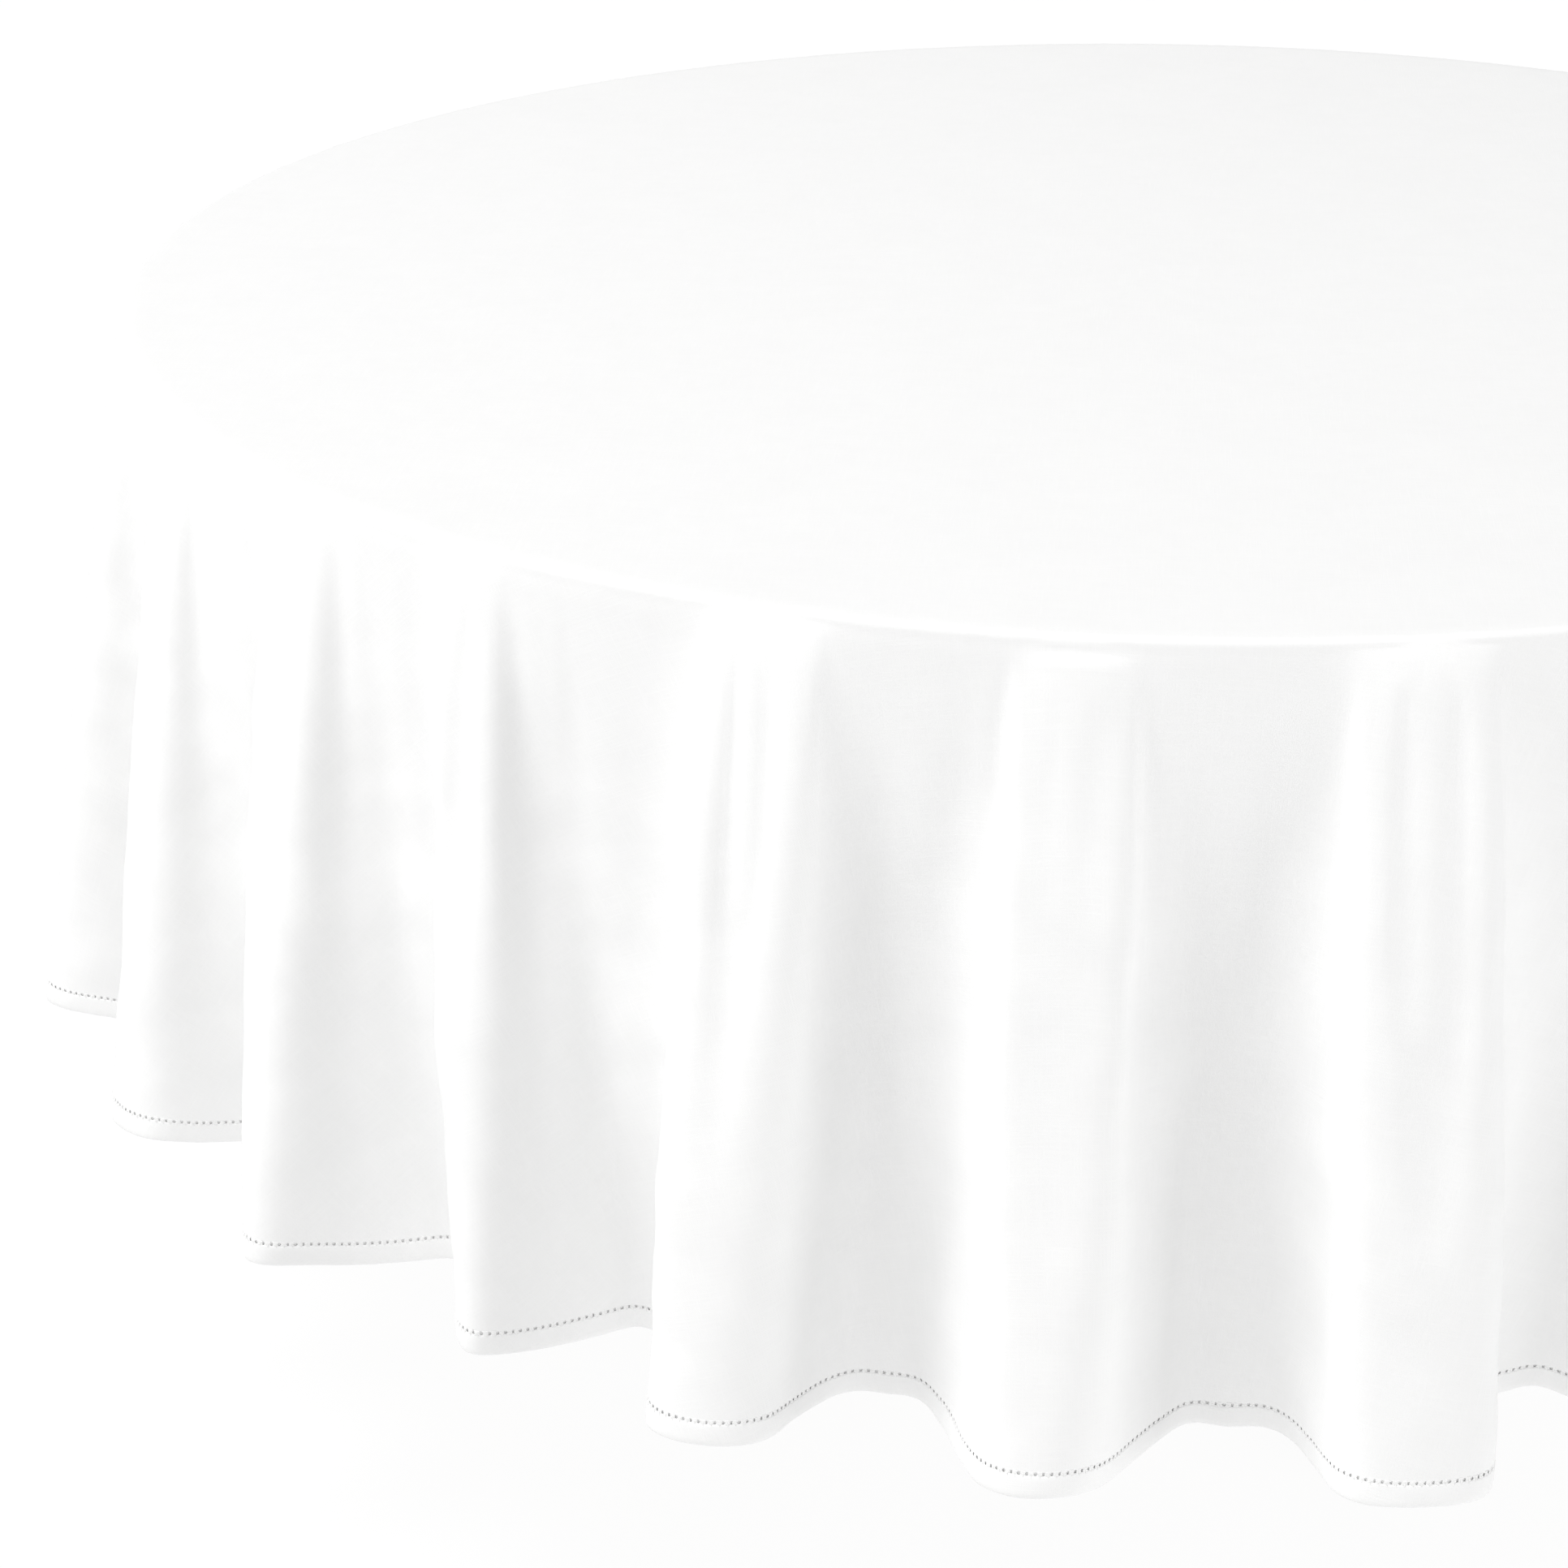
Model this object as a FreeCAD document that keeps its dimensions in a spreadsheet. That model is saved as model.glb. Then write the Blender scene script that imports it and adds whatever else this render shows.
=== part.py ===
"""Round hemstitched tablecloth on a round pedestal table.

Frame: origin on the floor under the table's centre, +Z up, -Y is the front.
All lengths in millimetres.  The driving sizes are in the sheet "Sizes".
"""
import FreeCAD, Part
import Sketcher
import math
import os

V = FreeCAD.Vector
doc = FreeCAD.newDocument("TableclothOnTable")

# ----------------------------------------------------------------- the sheet
sheet = doc.addObject("Spreadsheet::Sheet", "Sizes")
ROWS = [
    # alias, value, what it is
    ("table_height", 762.0, "top of the laminate above the floor (30 in)"),
    ("top_radius", 685.0, "tabletop outer radius (54 in round)"),
    ("core_thickness", 26.0, "plywood core"),
    ("sheet_thickness", 1.0, "laminate top and backing sheet, each"),
    ("band_thickness", 3.0, "edge band, radial"),
    ("band_round", 2.5, "rounding of the edge band corners"),
    ("cloth_thickness", 1.2, "cloth as laid, with its slubs"),
    ("cloth_gap", 0.4, "clearance between cloth and top"),
    ("cloth_radius", 1143.0, "flat radius of the cloth (90 in round)"),
    ("hem_height", 311.0, "lowest line of the hem above the floor"),
    ("hem_width", 13.0, "doubled hem (1/2 in)"),
    ("hem_thickness", 2.0, "doubled hem, both layers"),
    ("stitch_height", 1.5, "hemstitched row between panel and hem"),
    ("stitch_thickness", 0.8, "thread wraps in the hemstitched row"),
    ("arm_angle", 35.0, "turn of the base and spider arms from X, degrees"),
    ("base_clear", 10.0, "underside of the base above the floor"),
    ("base_hub_radius", 52.0, "hub of the base casting"),
    ("base_hub_top", 88.0, "top of the hub above the floor"),
    ("base_web_low", 29.0, "underside of the tie-rod web"),
    ("base_web_high", 45.0, "top of the tie-rod web, seat of the column"),
    ("base_recess_radius", 24.0, "recess for the lower nut"),
    ("arm_root_width", 62.0, "base arm width at the hub"),
    ("arm_tip_width", 40.0, "base arm width at the tip"),
    ("arm_root_top", 74.0, "base arm top at the hub"),
    ("arm_mid_top", 46.0, "base arm top half way out"),
    ("arm_tip_top", 33.0, "base arm top at the tip"),
    ("glide_circle", 335.0, "radius of the circle of glides"),
    ("boss_radius", 21.0, "boss round each glide"),
    ("boss_top", 35.0, "top of the boss"),
    ("stem_radius", 5.0, "M10 glide stem"),
    ("stem_hole_radius", 5.05, "its running clearance hole"),
    ("stem_top", 34.0, "upper end of the stem when screwed in"),
    ("flange_radius", 9.5, "hexagon of the stem, across corners / 2"),
    ("flange_low", 5.0, "underside of that hexagon"),
    ("flange_high", 9.6, "its top face"),
    ("pad_radius", 19.0, "glide pad"),
    ("pad_height", 7.8, "glide pad, top edge above the floor"),
    ("column_radius", 38.05, "steel tube, 76.1 mm outside"),
    ("column_wall", 2.6, "its wall"),
    ("socket_radius", 38.2, "sockets of the two castings"),
    ("spider_web_low", 712.0, "upper seat of the column"),
    ("spider_web_high", 719.0, "washer seat in the spider"),
    ("spider_skirt_low", 690.0, "lower rim of the spider socket"),
    ("spider_hub_radius", 52.0, "spider hub"),
    ("spider_recess_radius", 20.0, "recess for the upper nut"),
    ("spider_arm_length", 285.0, "centre to tip of a spider arm"),
    ("spider_arm_width", 46.0, "width of a spider arm"),
    ("spider_plate", 6.0, "thickness of its plate"),
    ("rib_width", 11.0, "rib under a spider arm"),
    ("screw_circle", 262.0, "distance out of the screw pairs"),
    ("screw_offset", 15.0, "each screw off the arm's middle line"),
    ("screw_radius", 2.4, "wood screw shank"),
    ("screw_hole_radius", 2.5, "pilot hole"),
    ("screw_head_radius", 4.8, "pan head"),
    ("screw_head_height", 3.4, "pan head"),
    ("screw_length", 24.0, "under the head"),
    ("rod_radius", 6.0, "M12 tie rod"),
    ("rod_hole_radius", 6.5, "its hole in the castings"),
    ("rod_low", 13.0, "lower end of the tie rod"),
    ("rod_high", 732.5, "upper end of the tie rod"),
    ("washer_radius", 15.0, "tie-rod washer"),
    ("washer_thickness", 2.5, "tie-rod washer"),
    ("nut_flats", 18.0, "across flats"),
    ("nut_height", 10.0, "tie-rod nut"),
]
D = {}
for i, (name, value, note) in enumerate(ROWS, start=1):
    sheet.set("A%d" % i, name)
    sheet.set("B%d" % i, repr(float(value)))
    sheet.set("C%d" % i, note)
    sheet.setAlias("B%d" % i, name)
    D[name] = float(value)
doc.recompute()


class Q:
    """A size with both its number and the sheet expression that gives it."""

    def __init__(self, v, e):
        self.v, self.e = float(v), e

    @staticmethod
    def of(x):
        return x if isinstance(x, Q) else Q(x, repr(float(x)))

    def __add__(self, o):
        o = Q.of(o)
        return Q(self.v + o.v, "(%s + %s)" % (self.e, o.e))

    __radd__ = __add__

    def __sub__(self, o):
        o = Q.of(o)
        return Q(self.v - o.v, "(%s - %s)" % (self.e, o.e))

    def __rsub__(self, o):
        return Q.of(o) - self

    def __mul__(self, o):
        o = Q.of(o)
        return Q(self.v * o.v, "(%s * %s)" % (self.e, o.e))

    __rmul__ = __mul__

    def __truediv__(self, o):
        o = Q.of(o)
        return Q(self.v / o.v, "(%s / %s)" % (self.e, o.e))

    def __neg__(self):
        return Q(-self.v, "(0 - %s)" % self.e)


def q(name):
    return Q(D[name], "Sizes." + name)


# ------------------------------------------------------------------- helpers
def new_body(label):
    b = doc.addObject("PartDesign::Body", label)
    b.Label = label
    return b


def plane(body, role):
    for f in body.Origin.OriginFeatures:
        if f.Role == role:
            return f
    raise RuntimeError(role)


def new_sketch(body, name, role, offset=None):
    sk = body.newObject("Sketcher::SketchObject", name)
    sk.AttachmentSupport = [(plane(body, role), "")]
    sk.MapMode = "FlatFace"
    if offset is not None:
        offset = Q.of(offset)
        sk.AttachmentOffset = FreeCAD.Placement(V(0, 0, offset.v), FreeCAD.Rotation())
        sk.setExpression(".AttachmentOffset.Base.z", offset.e)
    return sk


def bind(sk, kind, *args):
    """Add a driving constraint whose last argument is a Q."""
    val = Q.of(args[-1])
    idx = sk.addConstraint(Sketcher.Constraint(kind, *args[:-1], val.v))
    sk.setExpression("Constraints[%d]" % idx, val.e)


def polygon(sk, pts):
    """A closed outline; every corner is placed by sheet sizes."""
    n = len(pts)
    pts = [(Q.of(a), Q.of(b)) for a, b in pts]
    base = sk.GeometryCount
    for i in range(n):
        a, b = pts[i], pts[(i + 1) % n]
        sk.addGeometry(Part.LineSegment(V(a[0].v, a[1].v, 0), V(b[0].v, b[1].v, 0)), False)
    for i in range(n):
        sk.addConstraint(Sketcher.Constraint("Coincident", base + i, 2, base + (i + 1) % n, 1))
    for i in range(n):
        x, y = pts[i]
        if abs(x.v) < 1e-9:
            sk.addConstraint(Sketcher.Constraint("PointOnObject", base + i, 1, -2))
        else:
            bind(sk, "DistanceX", -1, 1, base + i, 1, x)
        if abs(y.v) < 1e-9:
            sk.addConstraint(Sketcher.Constraint("PointOnObject", base + i, 1, -1))
        else:
            bind(sk, "DistanceY", -1, 1, base + i, 1, y)


def circle(sk, x, y, r):
    x, y, r = Q.of(x), Q.of(y), Q.of(r)
    g = sk.addGeometry(Part.Circle(V(x.v, y.v, 0), V(0, 0, 1), r.v), False)
    bind(sk, "Radius", g, r)
    if abs(x.v) < 1e-9 and abs(y.v) < 1e-9:
        sk.addConstraint(Sketcher.Constraint("Coincident", g, 3, -1, 1))
        return
    if abs(x.v) < 1e-9:
        sk.addConstraint(Sketcher.Constraint("PointOnObject", g, 3, -2))
    else:
        bind(sk, "DistanceX", -1, 1, g, 3, x)
    if abs(y.v) < 1e-9:
        sk.addConstraint(Sketcher.Constraint("PointOnObject", g, 3, -1))
    else:
        bind(sk, "DistanceY", -1, 1, g, 3, y)


def pad(body, name, sk, length, reverse=False, both=False):
    f = body.newObject("PartDesign::Pad", name)
    f.Profile = sk
    f.Length = Q.of(length).v
    f.setExpression("Length", Q.of(length).e)
    f.Reversed = reverse
    f.Midplane = both
    return f


def pocket(body, name, sk, length=None, reverse=False):
    f = body.newObject("PartDesign::Pocket", name)
    f.Profile = sk
    if length is None:
        f.Type = "ThroughAll"
        f.Midplane = True
    else:
        f.Length = Q.of(length).v
        f.setExpression("Length", Q.of(length).e)
        f.Reversed = reverse
    return f


def revolve(body, name, sk):
    f = body.newObject("PartDesign::Revolution", name)
    f.Profile = sk
    f.ReferenceAxis = (sk, ["V_Axis"])
    f.Angle = 360.0
    return f


def polar(body, name, feats, count):
    f = body.newObject("PartDesign::PolarPattern", name)
    f.Originals = feats
    f.Axis = (plane(body, "Z_Axis"), [""])
    f.Angle = 360.0
    f.Occurrences = count
    body.Tip = f
    return f


def lathe(label, pts):
    """A turned piece: one closed outline in r and z, about Z."""
    b = new_body(label)
    sk = new_sketch(b, label + "_profile", "XZ_Plane")
    polygon(sk, pts)
    revolve(b, label + "_turned", sk)
    return b


def turn(obj):
    obj.Placement = FreeCAD.Placement(V(0, 0, 0), FreeCAD.Rotation(V(0, 0, 1), D["arm_angle"]))
    obj.setExpression(".Placement.Rotation.Angle", "Sizes.arm_angle")


nodes = []

# ------------------------------------------------------------- the tabletop
top = q("table_height")
core_top = top - q("sheet_thickness")
core_low = core_top - q("core_thickness")
under = core_low - q("sheet_thickness")
core_r = q("top_radius") - q("band_thickness")
sx, sy = q("screw_circle"), q("screw_offset")
pilot_top = under + q("screw_length") - q("spider_plate")

core = new_body("tabletop_core")
sk = new_sketch(core, "core_disc", "XY_Plane", core_low)
circle(sk, 0, 0, core_r)
pad(core, "core_pad", sk, q("core_thickness"))
doc.recompute()
v0 = core.Shape.Volume
sk = new_sketch(core, "core_pilots", "XY_Plane", core_low)
circle(sk, sx, sy, q("screw_hole_radius"))
circle(sk, sx, -sy, q("screw_hole_radius"))
pk = pocket(core, "core_pilot_holes", sk, pilot_top - core_low + 1.0, reverse=True)
doc.recompute()
polar(core, "core_pilots_round", [pk], 4)
doc.recompute()
assert core.Shape.Volume < v0 - 8 * 3.1 * D["screw_hole_radius"] ** 2 * 15
turn(core)
nodes.append(core)

lam = new_body("top_laminate")
sk = new_sketch(lam, "laminate_disc", "XY_Plane", core_top)
circle(sk, 0, 0, core_r)
pad(lam, "laminate_pad", sk, q("sheet_thickness"))
nodes.append(lam)

back = new_body("backing_sheet")
sk = new_sketch(back, "backing_disc", "XY_Plane", under)
circle(sk, 0, 0, core_r)
pad(back, "backing_pad", sk, q("sheet_thickness"))
doc.recompute()
v0 = back.Shape.Volume
sk = new_sketch(back, "backing_holes", "XY_Plane", under)
circle(sk, sx, sy, q("screw_hole_radius"))
circle(sk, sx, -sy, q("screw_hole_radius"))
pk = pocket(back, "backing_hole_pair", sk)
doc.recompute()
polar(back, "backing_holes_round", [pk], 4)
doc.recompute()
assert back.Shape.Volume < v0 - 8 * 3.1 * D["screw_hole_radius"] ** 2 * 0.9
turn(back)
nodes.append(back)

band = lathe("edge_band", [
    (core_r, under), (q("top_radius"), under), (q("top_radius"), top), (core_r, top)])
doc.recompute()
outer_edges = []
for i, e in enumerate(band.Shape.Edges, start=1):
    bb = e.BoundBox
    if bb.XMax > D["top_radius"] - 0.01 and bb.ZLength < 0.01 and bb.XLength > D["top_radius"]:
        outer_edges.append("Edge%d" % i)
assert len(outer_edges) == 2, outer_edges
fil = band.newObject("PartDesign::Fillet", "band_rounding")
fil.Base = (band.getObject("edge_band_turned") or doc.getObject("edge_band_turned"), outer_edges)
fil.Radius = D["band_round"]
fil.setExpression("Radius", "Sizes.band_round")
doc.recompute()
nodes.append(band)

# ------------------------------------------------ the spider under the top
spider = lathe("top_spider", [
    (q("rod_hole_radius"), q("spider_web_low")),
    (q("socket_radius"), q("spider_web_low")),
    (q("socket_radius"), q("spider_skirt_low")),
    (q("socket_radius") + 6.0, q("spider_skirt_low")),
    (q("socket_radius") + 8.5, q("spider_web_low") + 2.0),
    (q("spider_hub_radius"), under - 9.0),
    (q("spider_hub_radius"), under),
    (q("spider_recess_radius"), under),
    (q("spider_recess_radius"), q("spider_web_high")),
    (q("rod_hole_radius"), q("spider_web_high"))])
L = q("spider_arm_length")
sk = new_sketch(spider, "spider_plate_outline", "XY_Plane", under)
hw = q("spider_arm_width") / 2
polygon(sk, [(q("spider_hub_radius") - 12, -hw), (L - 8, -hw), (L, -hw + 10),
             (L, hw - 10), (L - 8, hw), (q("spider_hub_radius") - 12, hw)])
plate = pad(spider, "spider_plate_pad", sk, q("spider_plate"), reverse=True)
sk = new_sketch(spider, "spider_rib_side", "XZ_Plane")
polygon(sk, [(q("spider_hub_radius") - 8, under - 2), (L - 14, under - 2),
             (L - 14, under - q("spider_plate") - 1),
             (L * 0.55, under - 11), (q("spider_hub_radius") + 20, under - 20),
             (q("spider_hub_radius") - 8, q("spider_web_low") + 1)])
rib = pad(spider, "spider_rib_pad", sk, q("rib_width"), both=True)
sk = new_sketch(spider, "spider_screw_holes", "XY_Plane", under)
circle(sk, sx, sy, q("screw_hole_radius") + 0.15)
circle(sk, sx, -sy, q("screw_hole_radius") + 0.15)
doc.recompute()
v0 = spider.Shape.Volume
holes = pocket(spider, "spider_holes", sk)
doc.recompute()
assert spider.Shape.Volume < v0 - 200
polar(spider, "spider_arms_round", [plate, rib, holes], 4)
turn(spider)
nodes.append(spider)

# eight pan-head wood screws, one solid each, in one group
heads = []
for k in range(4):
    for s in (-1, 1):
        nm = "screw_%d" % (len(heads) + 1)
        hd = doc.addObject("Part::Cylinder", nm + "_head")
        hd.setExpression("Radius", "Sizes.screw_head_radius")
        hd.setExpression("Height", "Sizes.screw_head_height")
        edge_r = doc.addObject("Part::Fillet", nm + "_pan")
        doc.recompute()
        low = [i for i, e in enumerate(hd.Shape.Edges, start=1)
               if e.BoundBox.ZMax < 0.01 and e.BoundBox.XLength > 1]
        edge_r.Base = hd
        edge_r.Edges = [(low[0], 1.6, 1.6)]
        sh = doc.addObject("Part::Cylinder", nm + "_shank")
        sh.setExpression("Radius", "Sizes.screw_radius")
        sh.setExpression("Height", "Sizes.screw_length - 3")
        sh.setExpression(".Placement.Base.z", "Sizes.screw_head_height")
        tip = doc.addObject("Part::Cone", nm + "_tip")
        tip.setExpression("Radius1", "Sizes.screw_radius")
        tip.Radius2 = 0.4
        tip.Height = 3.0
        tip.setExpression(".Placement.Base.z", "Sizes.screw_head_height + Sizes.screw_length - 3")
        one = doc.addObject("Part::MultiFuse", nm)
        one.Shapes = [edge_r, sh, tip]
        ang = "(Sizes.arm_angle + %d)" % (90 * k)
        one.setExpression(".Placement.Base.x",
                          "Sizes.screw_circle * cos(%s * 1 deg) - %d * Sizes.screw_offset * sin(%s * 1 deg)" % (ang, s, ang))
        one.setExpression(".Placement.Base.y",
                          "Sizes.screw_circle * sin(%s * 1 deg) + %d * Sizes.screw_offset * cos(%s * 1 deg)" % (ang, s, ang))
        one.setExpression(".Placement.Base.z",
                          "%s - Sizes.spider_plate - Sizes.screw_head_height" % under.e)
        heads.append(one)
screws = doc.addObject("Part::Compound", "spider_screws")
screws.Label = "spider_screws"
screws.Links = heads
nodes.append(screws)

# ----------------------------------------------------- column and tie rod
tube = new_body("column")
sk = new_sketch(tube, "column_ring", "XY_Plane", q("base_web_high"))
circle(sk, 0, 0, q("column_radius"))
circle(sk, 0, 0, q("column_radius") - q("column_wall"))
pad(tube, "column_pad", sk, q("spider_web_low") - q("base_web_high"))
nodes.append(tube)

rod = new_body("tie_rod")
sk = new_sketch(rod, "rod_section", "XY_Plane", q("rod_low"))
circle(sk, 0, 0, q("rod_radius"))
pad(rod, "rod_pad", sk, q("rod_high") - q("rod_low"))
doc.recompute()
ch = rod.newObject("PartDesign::Chamfer", "rod_ends")
ends = ["Edge%d" % (i + 1) for i, e in enumerate(rod.Shape.Edges) if e.BoundBox.ZLength < 0.01]
ch.Base = (doc.getObject("rod_pad"), ends)
ch.Size = 1.0
nodes.append(rod)


def nut(name, z):
    b = doc.addObject("Part::Prism", name + "_hex")
    b.Polygon = 6
    b.setExpression("Circumradius", "Sizes.nut_flats / 2 / cos(30 deg)")
    b.setExpression("Height", "Sizes.nut_height")
    hole = doc.addObject("Part::Cylinder", name + "_hole")
    hole.setExpression("Radius", "Sizes.rod_radius")
    hole.setExpression("Height", "Sizes.nut_height + 2")
    hole.Placement.Base = V(0, 0, -1)
    cut = doc.addObject("Part::Cut", name)
    cut.Base, cut.Tool = b, hole
    cut.setExpression(".Placement.Base.z", z.e)
    return cut


def washer(name, z):
    b = doc.addObject("Part::Cylinder", name + "_disc")
    b.setExpression("Radius", "Sizes.washer_radius")
    b.setExpression("Height", "Sizes.washer_thickness")
    hole = doc.addObject("Part::Cylinder", name + "_hole")
    hole.setExpression("Radius", "Sizes.rod_radius + 0.3")
    hole.setExpression("Height", "Sizes.washer_thickness + 2")
    hole.Placement.Base = V(0, 0, -1)
    cut = doc.addObject("Part::Cut", name)
    cut.Base, cut.Tool = b, hole
    cut.setExpression(".Placement.Base.z", z.e)
    return cut


wt, nh = q("washer_thickness"), q("nut_height")
washers = doc.addObject("Part::Compound", "tie_rod_washers")
washers.Label = "tie_rod_washers"
washers.Links = [washer("washer_low", q("base_web_low") - wt), washer("washer_high", q("spider_web_high"))]
nodes.append(washers)
nuts = doc.addObject("Part::Compound", "tie_rod_nuts")
nuts.Label = "tie_rod_nuts"
nuts.Links = [nut("nut_low", q("base_web_low") - wt - nh), nut("nut_high", q("spider_web_high") + wt)]
nodes.append(nuts)

# -------------------------------------------------------- the base casting
hub_r = q("base_hub_radius")
base = lathe("base_casting", [
    (q("rod_hole_radius"), q("base_web_low")),
    (q("base_recess_radius"), q("base_web_low")),
    (q("base_recess_radius"), q("base_clear")),
    (hub_r + 2, q("base_clear")),
    (hub_r + 4, q("base_clear") + 2),
    (hub_r + 4, q("arm_root_top") - 14),
    (hub_r, q("arm_root_top") - 4),
    (q("socket_radius") + 8, q("base_hub_top") - 2),
    (q("socket_radius") + 6, q("base_hub_top")),
    (q("socket_radius"), q("base_hub_top")),
    (q("socket_radius"), q("base_web_high")),
    (q("rod_hole_radius"), q("base_web_high"))])
doc.recompute()


def arm_section(name, x, width, low, high):
    """Cast-arm section: flat underside, sides drawn in, crowned top."""
    s = new_sketch(base, name, "YZ_Plane", x)
    w = width / 2
    rise = high - low
    polygon(s, [(-w, low), (w, low), (w, low + rise * 0.35), (w * 0.86, low + rise * 0.72),
                (w * 0.60, low + rise * 0.93), (w * 0.25, high),
                (-w * 0.25, high), (-w * 0.60, low + rise * 0.93), (-w * 0.86, low + rise * 0.72),
                (-w, low + rise * 0.35)])
    return s


gl = q("glide_circle")
wr, wtip = q("arm_root_width"), q("arm_tip_width")
secs = [
    arm_section("arm_root", hub_r - 10, wr, q("base_clear"), q("arm_root_top")),
    arm_section("arm_near", gl * 0.32, wr * 0.84, q("base_clear") + 4, q("arm_root_top") * 0.62 + q("arm_mid_top") * 0.38 - 6),
    arm_section("arm_middle", gl * 0.6, (wr + wtip) / 2 * 0.92, q("base_clear") + 4, q("arm_mid_top")),
    arm_section("arm_outer", gl - 6, wtip, q("base_clear"), q("arm_tip_top")),
]
loft = base.newObject("PartDesign::AdditiveLoft", "arm_loft")
loft.Profile = secs[0]
loft.Sections = secs[1:]
loft.Ruled = False
doc.recompute()
bsk = new_sketch(base, "boss_circle", "XY_Plane", q("base_clear"))
circle(bsk, gl, 0, q("boss_radius"))
boss = pad(base, "boss_pad", bsk, q("boss_top") - q("base_clear"))
doc.recompute()
hsk = new_sketch(base, "stem_hole_circle", "XY_Plane", q("base_clear"))
circle(hsk, gl, 0, q("stem_hole_radius"))
v0 = base.Shape.Volume
hole = pocket(base, "stem_hole", hsk)
doc.recompute()
assert base.Shape.Volume < v0 - 1500
polar(base, "arms_round", [loft, boss, hole], 4)
doc.recompute()
turn(base)
nodes.append(base)

# ---------------------------------------------------- the levelling glides
GLIDES = [("front_right", -45), ("back_right", 45), ("back_left", 135), ("front_left", 225)]
for name, ang in GLIDES:
    stem = new_body("glide_stem_" + name)
    sk = new_sketch(stem, "stem_section_" + name, "XY_Plane", q("flange_high"))
    circle(sk, 0, 0, q("stem_radius"))
    pad(stem, "stem_pad_" + name, sk, q("stem_top") - q("flange_high"))
    sk = new_sketch(stem, "hex_section_" + name, "XY_Plane", q("flange_low"))
    pts = [(q("flange_radius") * math.cos(math.radians(a)), q("flange_radius") * math.sin(math.radians(a)))
           for a in range(0, 360, 60)]
    polygon(sk, pts)
    pad(stem, "hex_pad_" + name, sk, q("flange_high") - q("flange_low"))
    foot = lathe("glide_pad_" + name, [
        (0, 0), (q("pad_radius") - 1.2, 0), (q("pad_radius"), 1.2),
        (q("pad_radius"), q("pad_height") - 3.2), (q("pad_radius") - 2.4, q("pad_height")),
        (q("flange_radius") + 0.3, q("pad_height")), (q("flange_radius") + 0.3, q("flange_low")),
        (0, q("flange_low"))])
    doc.recompute()
    for b in (stem, foot):
        a = "((Sizes.arm_angle + %d) * 1 deg)" % (ang - 45)
        b.setExpression(".Placement.Base.x", "Sizes.glide_circle * cos(%s)" % a)
        b.setExpression(".Placement.Base.y", "Sizes.glide_circle * sin(%s)" % a)
        nodes.append(b)

# --------------------------------------------------------------- the cloth
# Fold crests round the skirt: angle from the front (towards +X), and how far
# out the crest stands at the hem, in parts of the tabletop radius.
CRESTS = [
    (-70.0, 1.140), (-56.0, 1.122), (-41.0, 1.139), (-28.5, 1.131), (-16.8, 1.148), (-3.6, 1.156),
    (11.3, 1.165), (26.0, 1.146), (40.2, 1.152), (55.6, 1.138), (69.2, 1.150), (84.2, 1.156),
    (98.6, 1.151), (114.2, 1.146), (128.1, 1.158), (143.0, 1.140), (158.4, 1.150), (173.0, 1.162),
    (186.9, 1.154), (202.4, 1.144), (216.5, 1.156), (231.1, 1.138), (246.3, 1.150), (260.8, 1.154),
    (275.6, 1.156)]
TROUGHS = {0: -63.4, 1: -49.0, 2: -35.0, 3: -23.0, 4: -10.6, 5: 4.5, 6: 18.8}
NF = len(CRESTS)
lows = []
for i in range(NF):
    a = CRESTS[i][0]
    b = CRESTS[(i + 1) % NF][0] + (360.0 if i == NF - 1 else 0.0)
    lows.append(TROUGHS.get(i, 0.5 * (a + b)))

R0 = D["top_radius"]
HEM_S = D["cloth_radius"] - R0


def hoop(depth):
    """Length of a folded loop over the length of a plain one of radius R0."""
    n = 240
    tot = 0.0
    for i in range(n):
        p = 2.0 * math.pi * (i + 0.5) / n
        tot += math.hypot(1.0 + depth * (1.0 + math.cos(p)), NF * depth * math.sin(p))
    return tot / n


def fold_depth(s):
    """Half the crest height, in parts of R0, at length s down the skirt.  The
    hoop length there is that of the flat round cloth, so the folds open fast
    just below the edge and slowly near the hem."""
    lo, hi = 0.0, 0.2
    for _ in range(40):
        m = 0.5 * (lo + hi)
        if hoop(m) < 1.0 + s / R0:
            lo = m
        else:
            hi = m
    return lo


HEM_DEPTH = fold_depth(HEM_S)


def growth(s):
    return fold_depth(s) / HEM_DEPTH


def crest_share(theta):
    """0 in a trough, 1 on a crest, with the crest's own height."""
    t = (theta + 76.8) % 360.0 - 76.8
    for i in range(NF):
        c, h = CRESTS[i]
        lo = lows[i - 1] - (360.0 if i == 0 else 0.0)
        hi = lows[i]
        for turn_ in (-360.0, 0.0, 360.0):
            x = t + turn_
            if lo <= x < hi:
                u = (x - lo) / (c - lo) if x < c else (hi - x) / (hi - c)
                return 0.5 * (1.0 - math.cos(math.pi * u)), h
    return 0.0, 1.0


PTS = NF * 14
thetas = [360.0 * i / PTS for i in range(PTS)]
shares = [crest_share(a) for a in thetas]
GAP, CT = D["cloth_gap"], D["cloth_thickness"]
RB = D["band_round"]
SAFE = R0 + GAP + CT / 2          # middle surface in the troughs, under the rim


def ring(mid_r, z, off):
    """One closed loop of the skirt at height z, moved off the middle surface."""
    n = PTS
    mid = []
    for i in range(n):
        a = math.radians(thetas[i])
        mid.append((mid_r[i] * math.sin(a), -mid_r[i] * math.cos(a)))
    pts = []
    for i in range(n):
        x0, y0 = mid[i - 1]
        x1, y1 = mid[(i + 1) % n]
        dx, dy = x1 - x0, y1 - y0
        ln = math.hypot(dx, dy)
        pts.append(V(mid[i][0] + off * dy / ln, mid[i][1] - off * dx / ln, z))
    c = Part.BSplineCurve()
    c.interpolate(Points=pts, PeriodicFlag=True)
    return Part.Wire([c.toShape()])


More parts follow.
